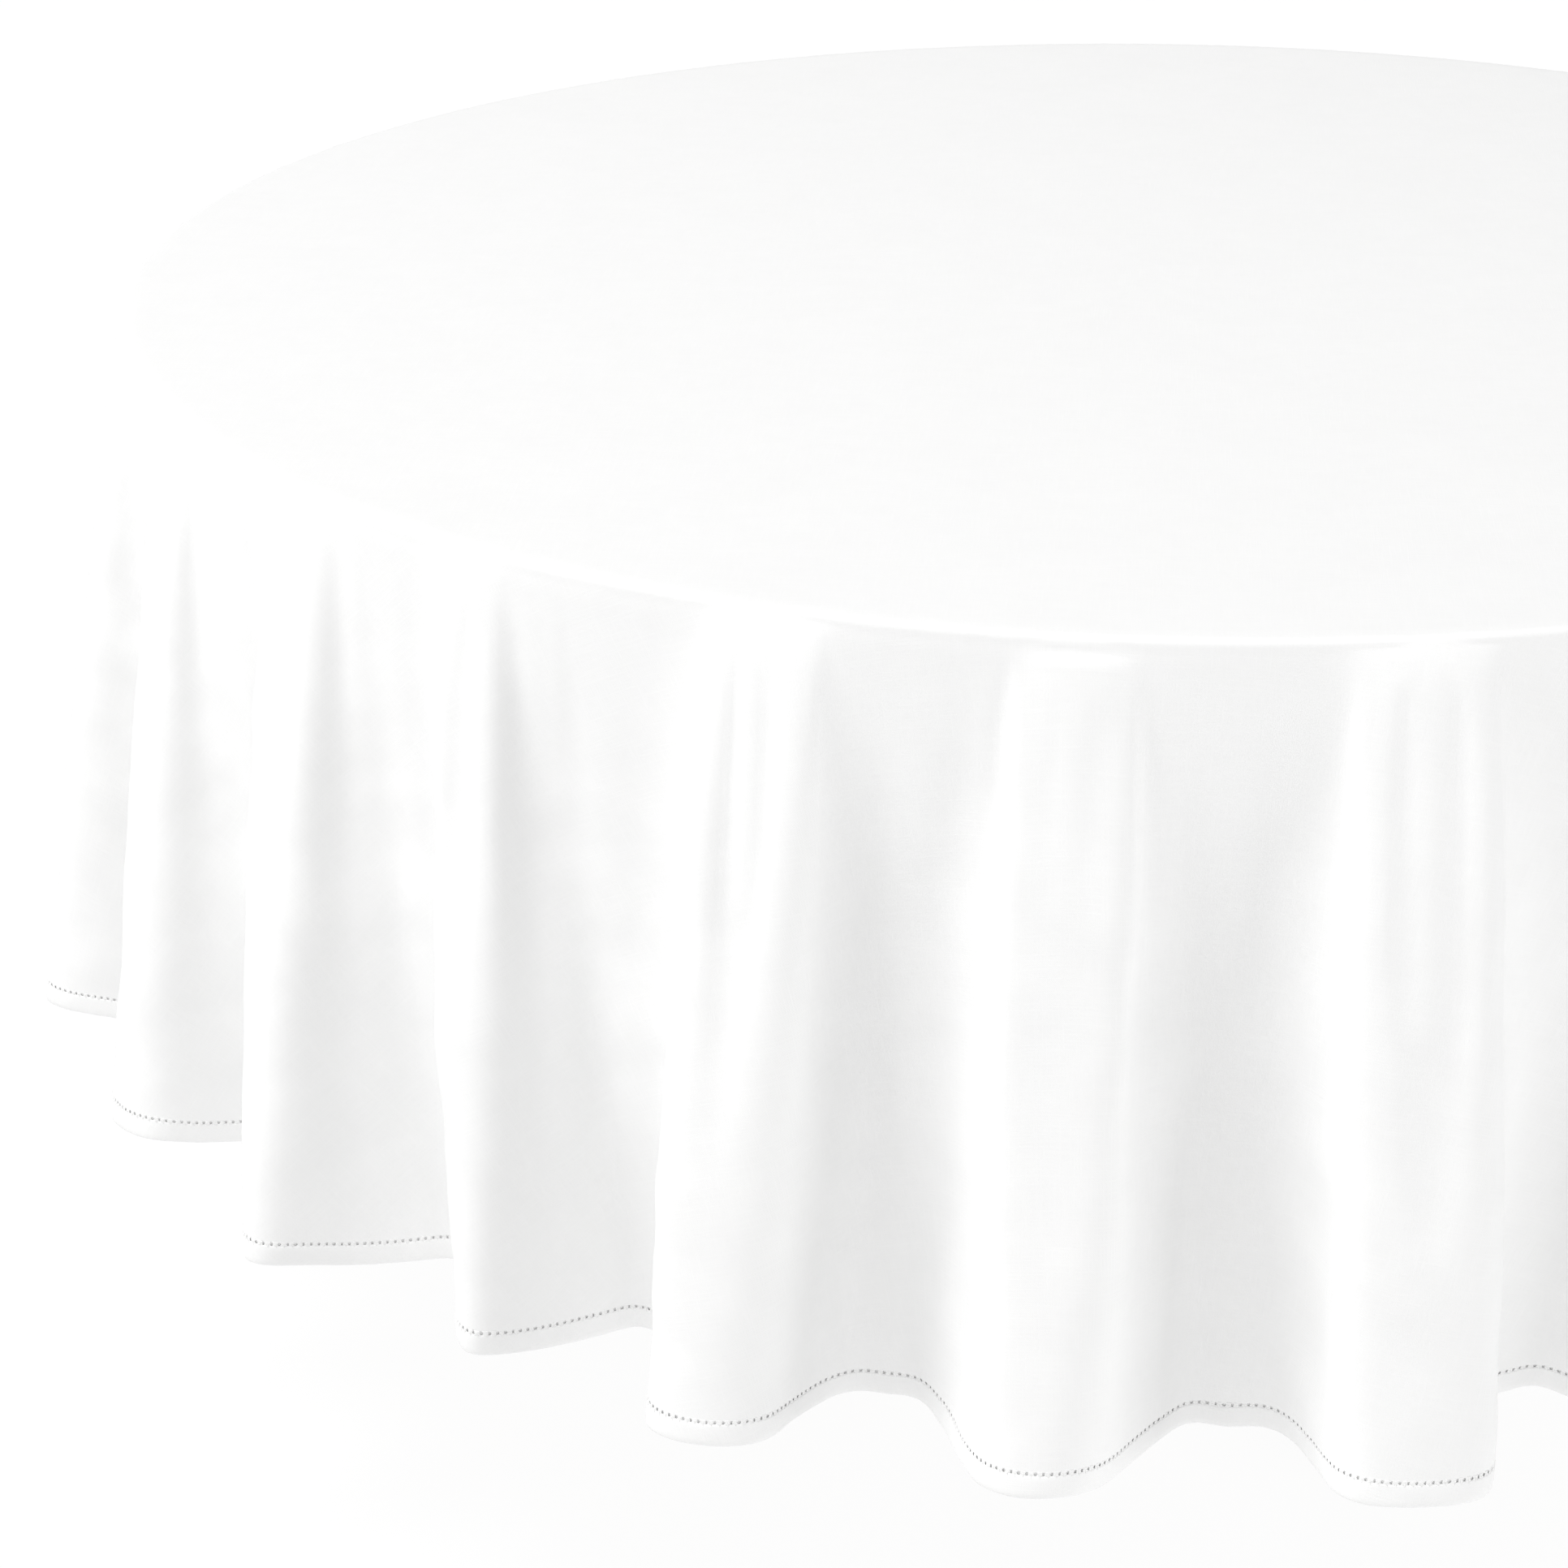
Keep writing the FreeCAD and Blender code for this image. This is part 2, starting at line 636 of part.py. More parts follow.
def skirt_radius(s):
    """Middle-surface radii at length s below the rim."""
    g = growth(max(s, 0.0))
    low = SAFE + 3.0 * (s / HEM_S)
    return [low + (h - 1.0) * R0 * g * f for f, h in shares]


def stack(levels, off):
    return [ring(skirt_radius(s), z, off) for s, z in levels]


def form(name, rings):
    """A closed form through the loops, flat at both ends."""
    f = doc.addObject("Part::Feature", name)
    f.Shape = Part.makeLoft(rings, True, True)
    f.Placement = FreeCAD.Placement()
    return f


def between(label, outer, inner):
    """What lies between two forms: a sheet that follows the folds."""
    cut = doc.addObject("Part::Cut", label)
    cut.Label = label
    cut.Base = form(label + "_outside", outer)
    cut.Tool = form(label + "_inside", inner)
    nodes.append(cut)
    return cut


TOPZ = D["table_height"]
rim_z = TOPZ - RB
hem_z = D["hem_height"]
drop = rim_z - hem_z


def level(z):
    """Length down the skirt for a height, taking the skirt's slope as even."""
    return (rim_z - z) / drop * HEM_S


def rim_rings(off):
    """The rounded bend of the cloth over the edge band."""
    cx, cz = R0 - RB, TOPZ - RB
    rad = RB + GAP + CT / 2 + off
    rings = []
    for k in range(6):
        a = math.radians(90.0 - 18.0 * k)
        r = cx + rad * math.cos(a)
        rings.append(ring([r] * PTS, cz + rad * math.sin(a), 0.0))
    return rings


zs_panel = [rim_z - d for d in (6, 14, 28, 50, 85, 135, 200, 280, 360)]
panel_low = hem_z + D["hem_width"] + D["stitch_height"]
zs_panel.append(panel_low)
panel = {}
for side, off in (("out", CT / 2), ("in", -CT / 2)):
    panel[side] = rim_rings(off) + stack([(level(z), z) for z in zs_panel], off)
panel["in"].append(ring(skirt_radius(HEM_S), panel_low - 4.0, -CT / 2))
between("tablecloth_panel", panel["out"], panel["in"])


def skirt_band(label, z_high, thick, height):
    """A narrow band that follows the folds, straight down from z_high."""
    out_ = ring(skirt_radius(level(z_high)), z_high, thick / 2)
    in_ = ring(skirt_radius(level(z_high)), z_high, -thick / 2)
    flat = doc.addObject("Part::Feature", label + "_outline")
    flat.Shape = Part.makeFace([out_, in_], "Part::FaceMakerBullseye")
    flat.Placement = FreeCAD.Placement()
    f = doc.addObject("Part::Extrusion", label)
    f.Label = label
    f.Base = flat
    f.DirMode = "Custom"
    f.Dir = V(0, 0, -1)
    f.LengthFwd = D[height]
    f.setExpression("LengthFwd", "Sizes." + height)
    f.Solid = True
    nodes.append(f)


skirt_band("hemstitch_thread", panel_low, D["stitch_thickness"], "stitch_height")
skirt_band("hem_band", hem_z + D["hem_width"], D["hem_thickness"], "hem_width")

# ------------------------------------------------------------------ checks
doc.recompute()
bad = []
for o in doc.Objects:
    if any(s in ("Invalid", "Error") for s in o.State):
        bad.append((o.Name, o.State))
if bad:
    raise RuntimeError("failed objects: %r" % bad)
labels = [o.Label for o in nodes]
assert len(labels) == len(set(labels)) <= 60
for o in nodes:
    s = o.Shape
    if s.isNull() or not s.isValid() or not s.Solids:
        raise RuntimeError("bad shape: " + o.Label)

os.makedirs("parts", exist_ok=True)
for f in os.listdir("parts"):
    if f.endswith(".step") and f[:-5] not in labels:
        os.remove(os.path.join("parts", f))
for o in nodes:
    o.Shape.exportStep(os.path.join("parts", o.Label + ".step"))
    b = o.Shape.BoundBox
    print("%-26s solids %d  vol %12.1f  x %.2f..%.2f  y %.2f..%.2f  z %.2f..%.2f" % (
        o.Label, len(o.Shape.Solids), o.Shape.Volume, b.XMin, b.XMax, b.YMin, b.YMax, b.ZMin, b.ZMax))
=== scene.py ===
import math

import bpy
import numpy as np
from mathutils import Matrix, Vector


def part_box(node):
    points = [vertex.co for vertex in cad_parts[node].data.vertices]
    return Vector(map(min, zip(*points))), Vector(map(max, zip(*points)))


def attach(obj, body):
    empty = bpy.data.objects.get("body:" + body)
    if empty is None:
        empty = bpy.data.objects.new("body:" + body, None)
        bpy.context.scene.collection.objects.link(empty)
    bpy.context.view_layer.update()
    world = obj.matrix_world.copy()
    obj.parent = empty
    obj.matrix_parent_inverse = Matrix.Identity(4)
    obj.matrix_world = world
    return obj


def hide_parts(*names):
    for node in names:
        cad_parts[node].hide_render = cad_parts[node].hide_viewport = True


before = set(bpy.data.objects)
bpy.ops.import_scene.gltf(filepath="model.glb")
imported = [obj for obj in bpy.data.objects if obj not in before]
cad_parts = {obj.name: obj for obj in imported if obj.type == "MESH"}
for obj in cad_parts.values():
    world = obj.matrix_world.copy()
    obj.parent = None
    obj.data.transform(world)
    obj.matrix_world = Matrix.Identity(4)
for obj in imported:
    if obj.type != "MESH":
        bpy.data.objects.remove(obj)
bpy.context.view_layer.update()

scene = bpy.context.scene

# --------------------------------------------------------------- sizes (m)
TOP_Z = float(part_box("top_laminate")[1][2])        # hard surface of the table
TOP_R = float(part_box("tabletop_core")[1][0]) + 0.003
CLOTH_R = 1.143                                    # flat radius of the cloth
HEM_W = 0.013                                      # doubled hem
ROW_W = 0.0019                                     # open row of the hemstitch
THICK = 0.0006                                     # cloth
EDGE = 0.0025                                      # rounding of the table's edge
LIFT = 0.0009                                      # middle of the cloth over the table
ARC_R = EDGE + LIFT
ARC_L = 0.5 * math.pi * ARC_R
RHO0 = TOP_R - EDGE                                # flat radius where the bend starts
SKIRT = CLOTH_R - RHO0 - ARC_L                     # hanging length
RIM_R = TOP_R + LIFT
RIM_Z = TOP_Z - EDGE

# Folds, going round from the left.  Angles are azimuths from the front, towards
# +X.  For each fold: crest azimuth at the table's edge and at the hem, crest
# radius at the hem (parts of RIM_R), fullness (hem length over the rim's), then
# for the trough that follows it: azimuth at the edge and at the hem, half width
# of the stretch that lies flat against the table's edge, radius at the hem.
FOLDS = [
    (-69.5, -70.0, 1.132, 1.66, -63.8, -63.4, 1.6, 0.992), (-57.6, -56.0, 1.118, 1.66, -51.5, -49.0, 3.7, 0.985),
    (-43.6, -41.0, 1.139, 1.72, -37.5, -35.0, 1.9, 0.990), (-32.0, -28.5, 1.136, 1.72, -25.2, -23.6, 3.7, 0.985),
    (-16.0, -17.1, 1.148, 1.98, -8.9, -10.6, 2.2, 0.997), (-2.8, -3.4, 1.153, 1.70, 3.4, 4.5, 2.1, 1.000),
    (12.0, 11.8, 1.164, 1.98, 20.2, 19.2, 3.0, 0.982), (27.4, 26.2, 1.140, 1.62, 33.0, 33.3, 3.1, 0.990),
    (39.8, 40.2, 1.146, 1.64, 47.2, 47.6, 1.8, 0.995), (55.2, 55.6, 1.130, 1.60, 62.9, 62.6, 2.9, 0.985),
    (69.6, 69.2, 1.142, 1.66, 76.0, 76.4, 2.3, 0.992), (84.0, 84.2, 1.148, 1.62, 91.5, 91.2, 3.3, 0.990),
    (98.9, 98.6, 1.143, 1.62, 106.2, 106.6, 1.7, 0.998), (113.8, 114.2, 1.138, 1.64, 121.3, 121.0, 3.0, 0.985),
    (128.4, 128.1, 1.148, 1.66, 135.5, 135.8, 2.0, 0.992), (142.6, 143.0, 1.132, 1.60, 151.1, 150.9, 3.4, 0.990),
    (158.8, 158.4, 1.142, 1.64, 165.2, 165.5, 1.9, 0.996), (172.7, 173.0, 1.148, 1.66, 180.3, 180.1, 2.8, 0.986),
    (187.2, 186.9, 1.144, 1.62, 194.2, 194.5, 1.8, 0.994), (202.0, 202.4, 1.136, 1.62, 209.9, 209.6, 3.2, 0.990),
    (216.8, 216.5, 1.148, 1.66, 223.3, 223.6, 2.1, 0.996), (230.8, 231.1, 1.130, 1.60, 239.2, 238.9, 3.3, 0.986),
    (246.6, 246.3, 1.142, 1.64, 253.2, 253.5, 1.8, 0.992), (260.5, 260.8, 1.146, 1.66, 268.1, 268.4, 2.6, 0.990),
    (275.9, 275.6, 1.140, 1.62, 282.6, 282.9, 2.0, 0.994)]
NF = len(FOLDS)
RAD = math.pi / 180.0
FA = np.array(FOLDS)
CR0, CR1 = FA[:, 0] * RAD, FA[:, 1] * RAD           # crests: edge, hem
TR0, TR1 = FA[:, 4] * RAD, FA[:, 5] * RAD           # following troughs
HUG = FA[:, 6] * RAD
TW0, TW1 = np.roll(TR0, 1), np.roll(TR1, 1)         # troughs before
TW0[0] -= 2 * math.pi
TW1[0] -= 2 * math.pi
HUGW = np.roll(HUG, 1)
RV1 = FA[:, 7] * RIM_R * 1.004
RVW = np.roll(RV1, 1)
RC1 = FA[:, 2] * RIM_R * 1.007
LEN1 = FA[:, 3] * (TR1 - TW1) * RIM_R
LEN1 *= 2 * math.pi * (RIM_R + SKIRT) / LEN1.sum()   # the hem is as long as the cloth's own edge
DPHI1 = LEN1 / (RIM_R + SKIRT)                       # share of the cloth in each fold
PHI_T0 = TR0.copy()                                  # cloth angle of each trough: at the edge
mid_shift = 0.5 * (TR1[5] + TW1[5]) - (TW1[0] + DPHI1[:5].sum() + 0.5 * DPHI1[5])
PHI_T1 = TW1[0] + mid_shift + np.cumsum(DPHI1)       # ... and at the hem
N_SUB = 150


def fold_curve(i, u, amp, kappa, r_floor):
    """Fold i at share u of the drop: azimuth and radius from trough to trough."""
    e = u ** 0.8
    tw = TW0[i] + (TW1[i] - TW0[i]) * e
    tr = TR0[i] + (TR1[i] - TR0[i]) * e
    c = CR0[i] + (CR1[i] - CR0[i]) * e
    open_ = (1.0 - u) ** 2.6
    ths, rs = [], []
    for a, hug, rv in ((tw, HUGW[i], r_floor[0]), (tr, HUG[i], r_floor[1])):
        half = abs(c - a)
        h = min((hug * open_ + 0.35 * RAD) / half, 0.75)
        p = np.linspace(0.0, 1.0, N_SUB + 1)
        q = np.clip((p - h) / (1.0 - h), 0.0, 1.0)
        g = p + (1.0 - h) * kappa * np.sin(2.0 * np.pi * q) / (2.0 * np.pi)
        f = 1.0 - (0.5 * (1.0 + np.cos(np.pi * q))) ** (1.0 + 0.5 * (1.0 - u))
        th = a + (c - a) * g
        r = rv + (amp - rv) * f
        if a > c:
            th, r = th[::-1], r[::-1]
        ths.append(th)
        rs.append(r)
    return np.concatenate([ths[0], ths[1][1:]]), np.concatenate([rs[0], rs[1][1:]])


def curve_len(th, r):
    x, y = r * np.sin(th), r * np.cos(th)
    return np.concatenate([[0.0], np.cumsum(np.hypot(np.diff(x), np.diff(y)))])


def solve(fn, lo, hi, goal, n=30):
    for _ in range(n):
        m = 0.5 * (lo + hi)
        if fn(m) < goal:
            lo = m
        else:
            hi = m
    return 0.5 * (lo + hi)


def skirt_rows(s_list, n_cols):
    """Drape of the flat cloth below the table's edge.  The hoop length of each
    row is the flat cloth's own, so the folds come from its size, not from a wave
    laid over it.  Returns x, y, z as arrays [row, column]."""
    phi0 = TW0[0]
    phi = phi0 + 2.0 * math.pi * np.arange(n_cols) / n_cols
    kap = [solve(lambda q: curve_len(*fold_curve(i, 1.0, RC1[i], q, (RVW[i], RV1[i])))[-1], -0.3, 1.35, LEN1[i])
           for i in range(NF)]
    xs, ys = [], []
    for s in s_list:
        u = min(s / SKIRT, 1.0)
        inner = max(0.0, (s - 0.030) / (SKIRT - 0.030)) ** 1.2
        X = np.zeros(n_cols)
        Y = np.zeros(n_cols)
        t1 = PHI_T0 + (PHI_T1 - PHI_T0) * u
        t0 = np.roll(t1, 1)
        t0[0] -= 2 * math.pi
        for i in range(NF):
            fl = (RIM_R + (RVW[i] - RIM_R) * inner, RIM_R + (RV1[i] - RIM_R) * inner)
            need = (RIM_R + s) * (t1[i] - t0[i])
            kk = kap[i] + (0.58 - kap[i]) * (1.0 - u) ** 0.8
            if s <= 1e-9:
                amp = RIM_R
            else:
                top = solve(lambda q: curve_len(*fold_curve(i, u, q, kk, fl))[-1], RIM_R - 0.02, RIM_R * 1.25, need)
                d = max(top - RIM_R, 1e-5)
                cap = 0.56 * s
                amp = RIM_R + 1.0 / (1.0 / d ** 2.5 + 1.0 / cap ** 2.5) ** 0.4
            th, r = fold_curve(i, u, amp, kk, fl)
            L = curve_len(th, r)
            for wrap in (-2 * math.pi, 0.0, 2 * math.pi):
                sel = np.where((phi + wrap >= t0[i]) & (phi + wrap < t1[i]))[0]
                if not len(sel):
                    continue
                frac = (phi[sel] + wrap - t0[i]) / (t1[i] - t0[i])
                t = np.interp(frac * L[-1], L, th)
                rr = np.interp(frac * L[-1], L, r)
                X[sel] = rr * np.sin(t)
                Y[sel] = -rr * np.cos(t)
        xs.append(X)
        ys.append(Y)
    xs, ys = np.array(xs), np.array(ys)
    return phi, xs, ys


def smooth_cols(a, w):
    """Periodic smoothing along a row with a raised-cosine window of half width w."""
    k = 0.5 * (1.0 + np.cos(np.pi * np.arange(-w, w + 1) / (w + 1)))
    k /= k.sum()
    out = np.zeros_like(a)
    for j, kk in zip(range(-w, w + 1), k):
        out += kk * np.roll(a, j, axis=-1)
    return out


# ------------------------------------------------------- the hanging cloth
COLS = 800
s_rows = [0.0]
step = 0.0028
while s_rows[-1] < SKIRT - 1e-6:
    s_rows.append(s_rows[-1] + step)
    step = min(step * 1.16, 0.0105)
s_rows = np.array(s_rows) * SKIRT / s_rows[-1]
PHI, SX, SY = skirt_rows(s_rows, COLS)
for arr in (SX, SY):
    arr[2:] = smooth_cols(arr[2:], 1)

top_rhos = np.array([0.600, 0.625, 0.645, 0.660, 0.670, 0.677])
arc = np.linspace(0.0, 0.5 * math.pi, 4)
# Over a crest the cloth does not turn right down at the edge: it leaves the
# round of the edge along its own slope.  Outward slope of each column at the edge:
SR = np.hypot(SX, SY)
lean = np.clip((SR[3] - SR[0]) / (s_rows[3] - s_rows[0]), 0.0, 0.93)
lean = smooth_cols(lean[None], 3)[0]
leave = np.arccos(lean)                            # turn of the edge it still follows
gain = ARC_R * (np.sin(leave) - 1.0) + lean * ARC_R * (0.5 * math.pi - leave)
for i in range(len(s_rows)):
    k = 1.0 + gain * math.exp(-s_rows[i] / 0.12) / SR[i]
    SX[i] *= k
    SY[i] *= k
rows_rho, rows_X, rows_Y = [], [], []
for rho in top_rhos:
    rows_rho.append(rho)
    rows_X.append(rho * np.sin(PHI))
    rows_Y.append(-rho * np.cos(PHI))
for a in arc[:-1]:
    rr = np.where(a <= leave, RHO0 + ARC_R * math.sin(a), RHO0 + ARC_R * (np.sin(leave) + lean * (a - leave)))
    rows_rho.append(RHO0 + ARC_R * a)
    rows_X.append(rr * np.sin(PHI))
    rows_Y.append(-rr * np.cos(PHI))
n_fixed = len(top_rhos)
for i, s in enumerate(s_rows):
    rows_rho.append(RHO0 + ARC_L + s)
    rows_X.append(SX[i])
    rows_Y.append(SY[i])
rows_X, rows_Y, rr_ = np.array(rows_X), np.array(rows_Y), np.array(rows_rho)
rows_Z = np.full(rows_X.shape, TOP_Z + LIFT)
for i in range(n_fixed + 1, len(rr_)):
    dh = np.hypot(rows_X[i] - rows_X[i - 1], rows_Y[i] - rows_Y[i - 1])
    ds = rr_[i] - rr_[i - 1]
    if i < n_fixed + len(arc):                      # on the round: the exact arc where it is followed
        a = arc[i - n_fixed]
        follow = RIM_Z + ARC_R * math.cos(a)
        off = RIM_Z + ARC_R * (np.cos(leave) - np.sin(leave) * (a - leave))
        rows_Z[i] = np.where(a <= leave, follow, off)
    else:
        rows_Z[i] = rows_Z[i - 1] - np.sqrt(np.maximum(ds * ds - dh * dh, (0.25 * ds) ** 2))
rows_Z[n_fixed + 4:] = smooth_cols(rows_Z[n_fixed + 4:], 2)
rows_P = np.stack([rows_X, rows_Y, rows_Z], 2)
RHO = np.array(rows_rho)
GRID = np.array(rows_P)                            # [row, col, xyz]
NR = len(RHO)
FLAT = np.stack([RHO[:, None] * np.sin(PHI)[None], -RHO[:, None] * np.cos(PHI)[None],
                 np.zeros((NR, COLS))], 2)


def grid_faces(nr, nc):
    i = np.arange(nr - 1)[:, None] * nc
    j = np.arange(nc)[None]
    j2 = (j + 1) % nc
    return np.stack([i + j, i + nc + j, i + nc + j2, i + j2], 2).reshape(-1, 4)


def make_mesh(name, verts, faces, smooth=True):
    me = bpy.data.meshes.new(name)
    me.from_pydata([tuple(v) for v in verts], [], [tuple(int(q) for q in f) for f in faces])
    me.validate()
    me.update()
    if smooth:
        me.polygons.foreach_set("use_smooth", [True] * len(me.polygons))
    ob = bpy.data.objects.new(name, me)
    scene.collection.objects.link(ob)
    return ob


INSET = 0.0013
HOLD0, HOLD = 0.5, 0.13


def simulate(grid, flat, frames):
    """Blender cloth: the flat disc is the rest shape, the drape is the start."""
    nr, nc = grid.shape[:2]
    ob = make_mesh("drape_sim", grid.reshape(-1, 3), grid_faces(nr, nc))
    ob.shape_key_add(name="Basis")
    key = ob.shape_key_add(name="flat")
    key.data.foreach_set("co", flat.reshape(-1).astype(np.float32))
    key.value = 0.0
    pin = ob.vertex_groups.new(name="pin")
    pin.add([int(q) for q in range(n_fixed * nc)], 1.0, "REPLACE")
    hold = np.clip((RHO[n_fixed:] - RHO[n_fixed]) / 0.05, 0.0, 1.0)
    for k, w in enumerate(HOLD0 + (HOLD - HOLD0) * hold):
        q = n_fixed + k
        pin.add(list(range(q * nc, (q + 1) * nc)), float(w), "REPLACE")
    # the table as a collider: a turned outline set in by what the solver keeps clear
    top, rim = TOP_Z - INSET, TOP_R - INSET
    prof = [(0.0, top), (0.3, top), (0.6, top)]
    for a in np.linspace(0, 0.5 * math.pi, 5):
        prof.append((RHO0 + (EDGE - INSET) * math.sin(a), TOP_Z - EDGE + (EDGE - INSET) * math.cos(a)))
    prof += [(rim, TOP_Z - 0.012), (rim, TOP_Z - 0.0255), (rim - 0.0025, TOP_Z - 0.028), (0.6, TOP_Z - 0.028)]
    nc2 = 240
    vs, fs = [(0, 0, TOP_Z)], []
    for r, z in prof[1:]:
        for k in range(nc2):
            t = 2 * math.pi * k / nc2
            vs.append((r * math.sin(t), -r * math.cos(t), z))
    for k in range(nc2):
        fs.append((0, 1 + k, 1 + (k + 1) % nc2))
    for q in range(len(prof) - 2):
        b = 1 + q * nc2
        for k in range(nc2):
            k2 = (k + 1) % nc2
            fs.append((b + k, b + nc2 + k, b + nc2 + k2, b + k2))
    col = bpy.data.meshes.new("sim_table")
    col.from_pydata(vs, [], fs)
    col.update()
    co = bpy.data.objects.new("sim_table", col)
    scene.collection.objects.link(co)
    cm = co.modifiers.new("Collision", "COLLISION")
    co.collision.thickness_outer = 0.001
    co.collision.thickness_inner = 0.005
    co.collision.cloth_friction = 20.0
    m = ob.modifiers.new("Cloth", "CLOTH")
    st = m.settings
    st.quality = 6
    st.mass = 0.10
    st.tension_stiffness = 30.0
    st.compression_stiffness = 30.0
    st.shear_stiffness = 6.0
    st.bending_stiffness = 0.4
    st.tension_damping = 8.0
    st.compression_damping = 8.0
    st.shear_damping = 4.0
    st.bending_damping = 0.5
    st.air_damping = 3.0
    st.vertex_group_mass = "pin"
    st.pin_stiffness = 1.0
    st.rest_shape_key = ob.data.shape_keys.key_blocks["flat"]
    m.collision_settings.use_collision = True
    m.collision_settings.distance_min = 0.001
    m.collision_settings.collision_quality = 2
    m.collision_settings.use_self_collision = False
    m.point_cache.frame_start = 1
    m.point_cache.frame_end = frames + 1
    scene.frame_start, scene.frame_end = 1, frames + 1
    for f in range(1, frames + 1):
        scene.frame_set(f)
    dg = bpy.context.evaluated_depsgraph_get()
    ev = ob.evaluated_get(dg)
    me = ev.to_mesh()
    out = np.empty(len(me.vertices) * 3, np.float32)
    me.vertices.foreach_get("co", out)
    ev.to_mesh_clear()
    out = out.reshape(nr, nc, 3).astype(float)
    bpy.data.objects.remove(ob, do_unlink=True)
    bpy.data.objects.remove(co, do_unlink=True)
    scene.frame_set(1)
    return out


# ------------------------------------------------- a smooth sheet from the rows
def cubic_cols(rows, phis):
    """Periodic Catmull-Rom along each row, at cloth angles phis."""
    nc = rows.shape[1]
    t = (np.asarray(phis) - PHI[0]) / (2.0 * math.pi) * nc
    i = np.floor(t).astype(int)
    f = (t - i)[None, :, None]
    a, b, c, d = (rows[:, (i + k) % nc] for k in (-1, 0, 1, 2))
    return b + 0.5 * f * (c - a + f * (2 * a - 5 * b + 4 * c - d + f * (3 * (b - c) + d - a)))


def cubic_rows(x, rows, xq):
    """Hermite interpolation down the cloth, between rows at flat radii x."""
    n = len(x)
    tan = np.empty_like(rows)
    h = np.diff(x)[:, None, None]
    sl = (rows[1:] - rows[:-1]) / h
    tan[1:-1] = (sl[:-1] * h[1:] + sl[1:] * h[:-1]) / (h[:-1] + h[1:])
    tan[0], tan[-1] = sl[0], sl[-1]
    out = np.empty((len(xq),) + rows.shape[1:])
    for q, v in enumerate(xq):
        i = min(max(int(np.searchsorted(x, v) - 1), 0), n - 2)
        w = x[i + 1] - x[i]
        t = (v - x[i]) / w
        t2, t3 = t * t, t * t * t
        out[q] = ((2 * t3 - 3 * t2 + 1) * rows[i] + (t3 - 2 * t2 + t) * w * tan[i]
                  + (-2 * t3 + 3 * t2) * rows[i + 1] + (t3 - t2) * w * tan[i + 1])
    return out


def sheet_at(rhos, phis):
    return cubic_rows(RHO, cubic_cols(GRID, phis), rhos)


def grid_normals(P):
    """Outward normals of a closed ring of rows."""
    dc = np.roll(P, -1, 1) - np.roll(P, 1, 1)
    dr = np.gradient(P, axis=0)
    n = np.cross(dr, dc)
    n /= np.maximum(np.linalg.norm(n, axis=2, keepdims=True), 1e-12)
    return n


class Waves:
    """Band-limited noise over the flat cloth: a fixed sum of plane waves."""

    def __init__(self, seed, n, lo, hi, stretch=1.0, turn=None):
        g = np.random.RandomState(seed)
        wl = np.exp(g.uniform(math.log(lo), math.log(hi), n))
        if turn is None:
            an = g.uniform(0, math.pi, n)
        else:
            an = turn + g.normal(0, 0.25 / stretch, n)
        self.k = 2 * math.pi / wl
        self.c, self.s = np.cos(an) * self.k, np.sin(an) * self.k
        self.p = g.uniform(0, 2 * math.pi, n)
        self.a = (wl / hi) ** 0.8
        self.a /= math.sqrt(float((self.a ** 2).sum()) / 2)

    def __call__(self, x, y):
        out = np.zeros(np.shape(x))
        for c, s, p, a in zip(self.c, self.s, self.p, self.a):
            out += a * np.sin(c * x + s * y + p)
        return out


# ------------------------------------------------------------- materials
def new_mat(name):
    m = bpy.data.materials.new(name)
    m.use_nodes = True
    nt = m.node_tree
    nt.nodes.clear()
    out = nt.nodes.new("ShaderNodeOutputMaterial")
    bsdf = nt.nodes.new("ShaderNodeBsdfPrincipled")
    nt.links.new(bsdf.outputs[0], out.inputs[0])
    return m, nt, bsdf


def node(nt, kind, **kw):
    n = nt.nodes.new(kind)
    for k, v in kw.items():
        if k.startswith("in_"):
            key = k[3:]
            n.inputs[int(key) if key.isdigit() else key].default_value = v
        else:
            setattr(n, k, v)
    return n


def math_node(nt, op, a, b=None, clamp=False):
    n = nt.nodes.new("ShaderNodeMath")
    n.operation = op
    n.use_clamp = clamp
    for i, v in enumerate((a, b)):
        if v is None:
            continue
        if isinstance(v, (int, float)):
            n.inputs[i].default_value = v
        else:
            nt.links.new(v, n.inputs[i])
    return n.outputs[0]


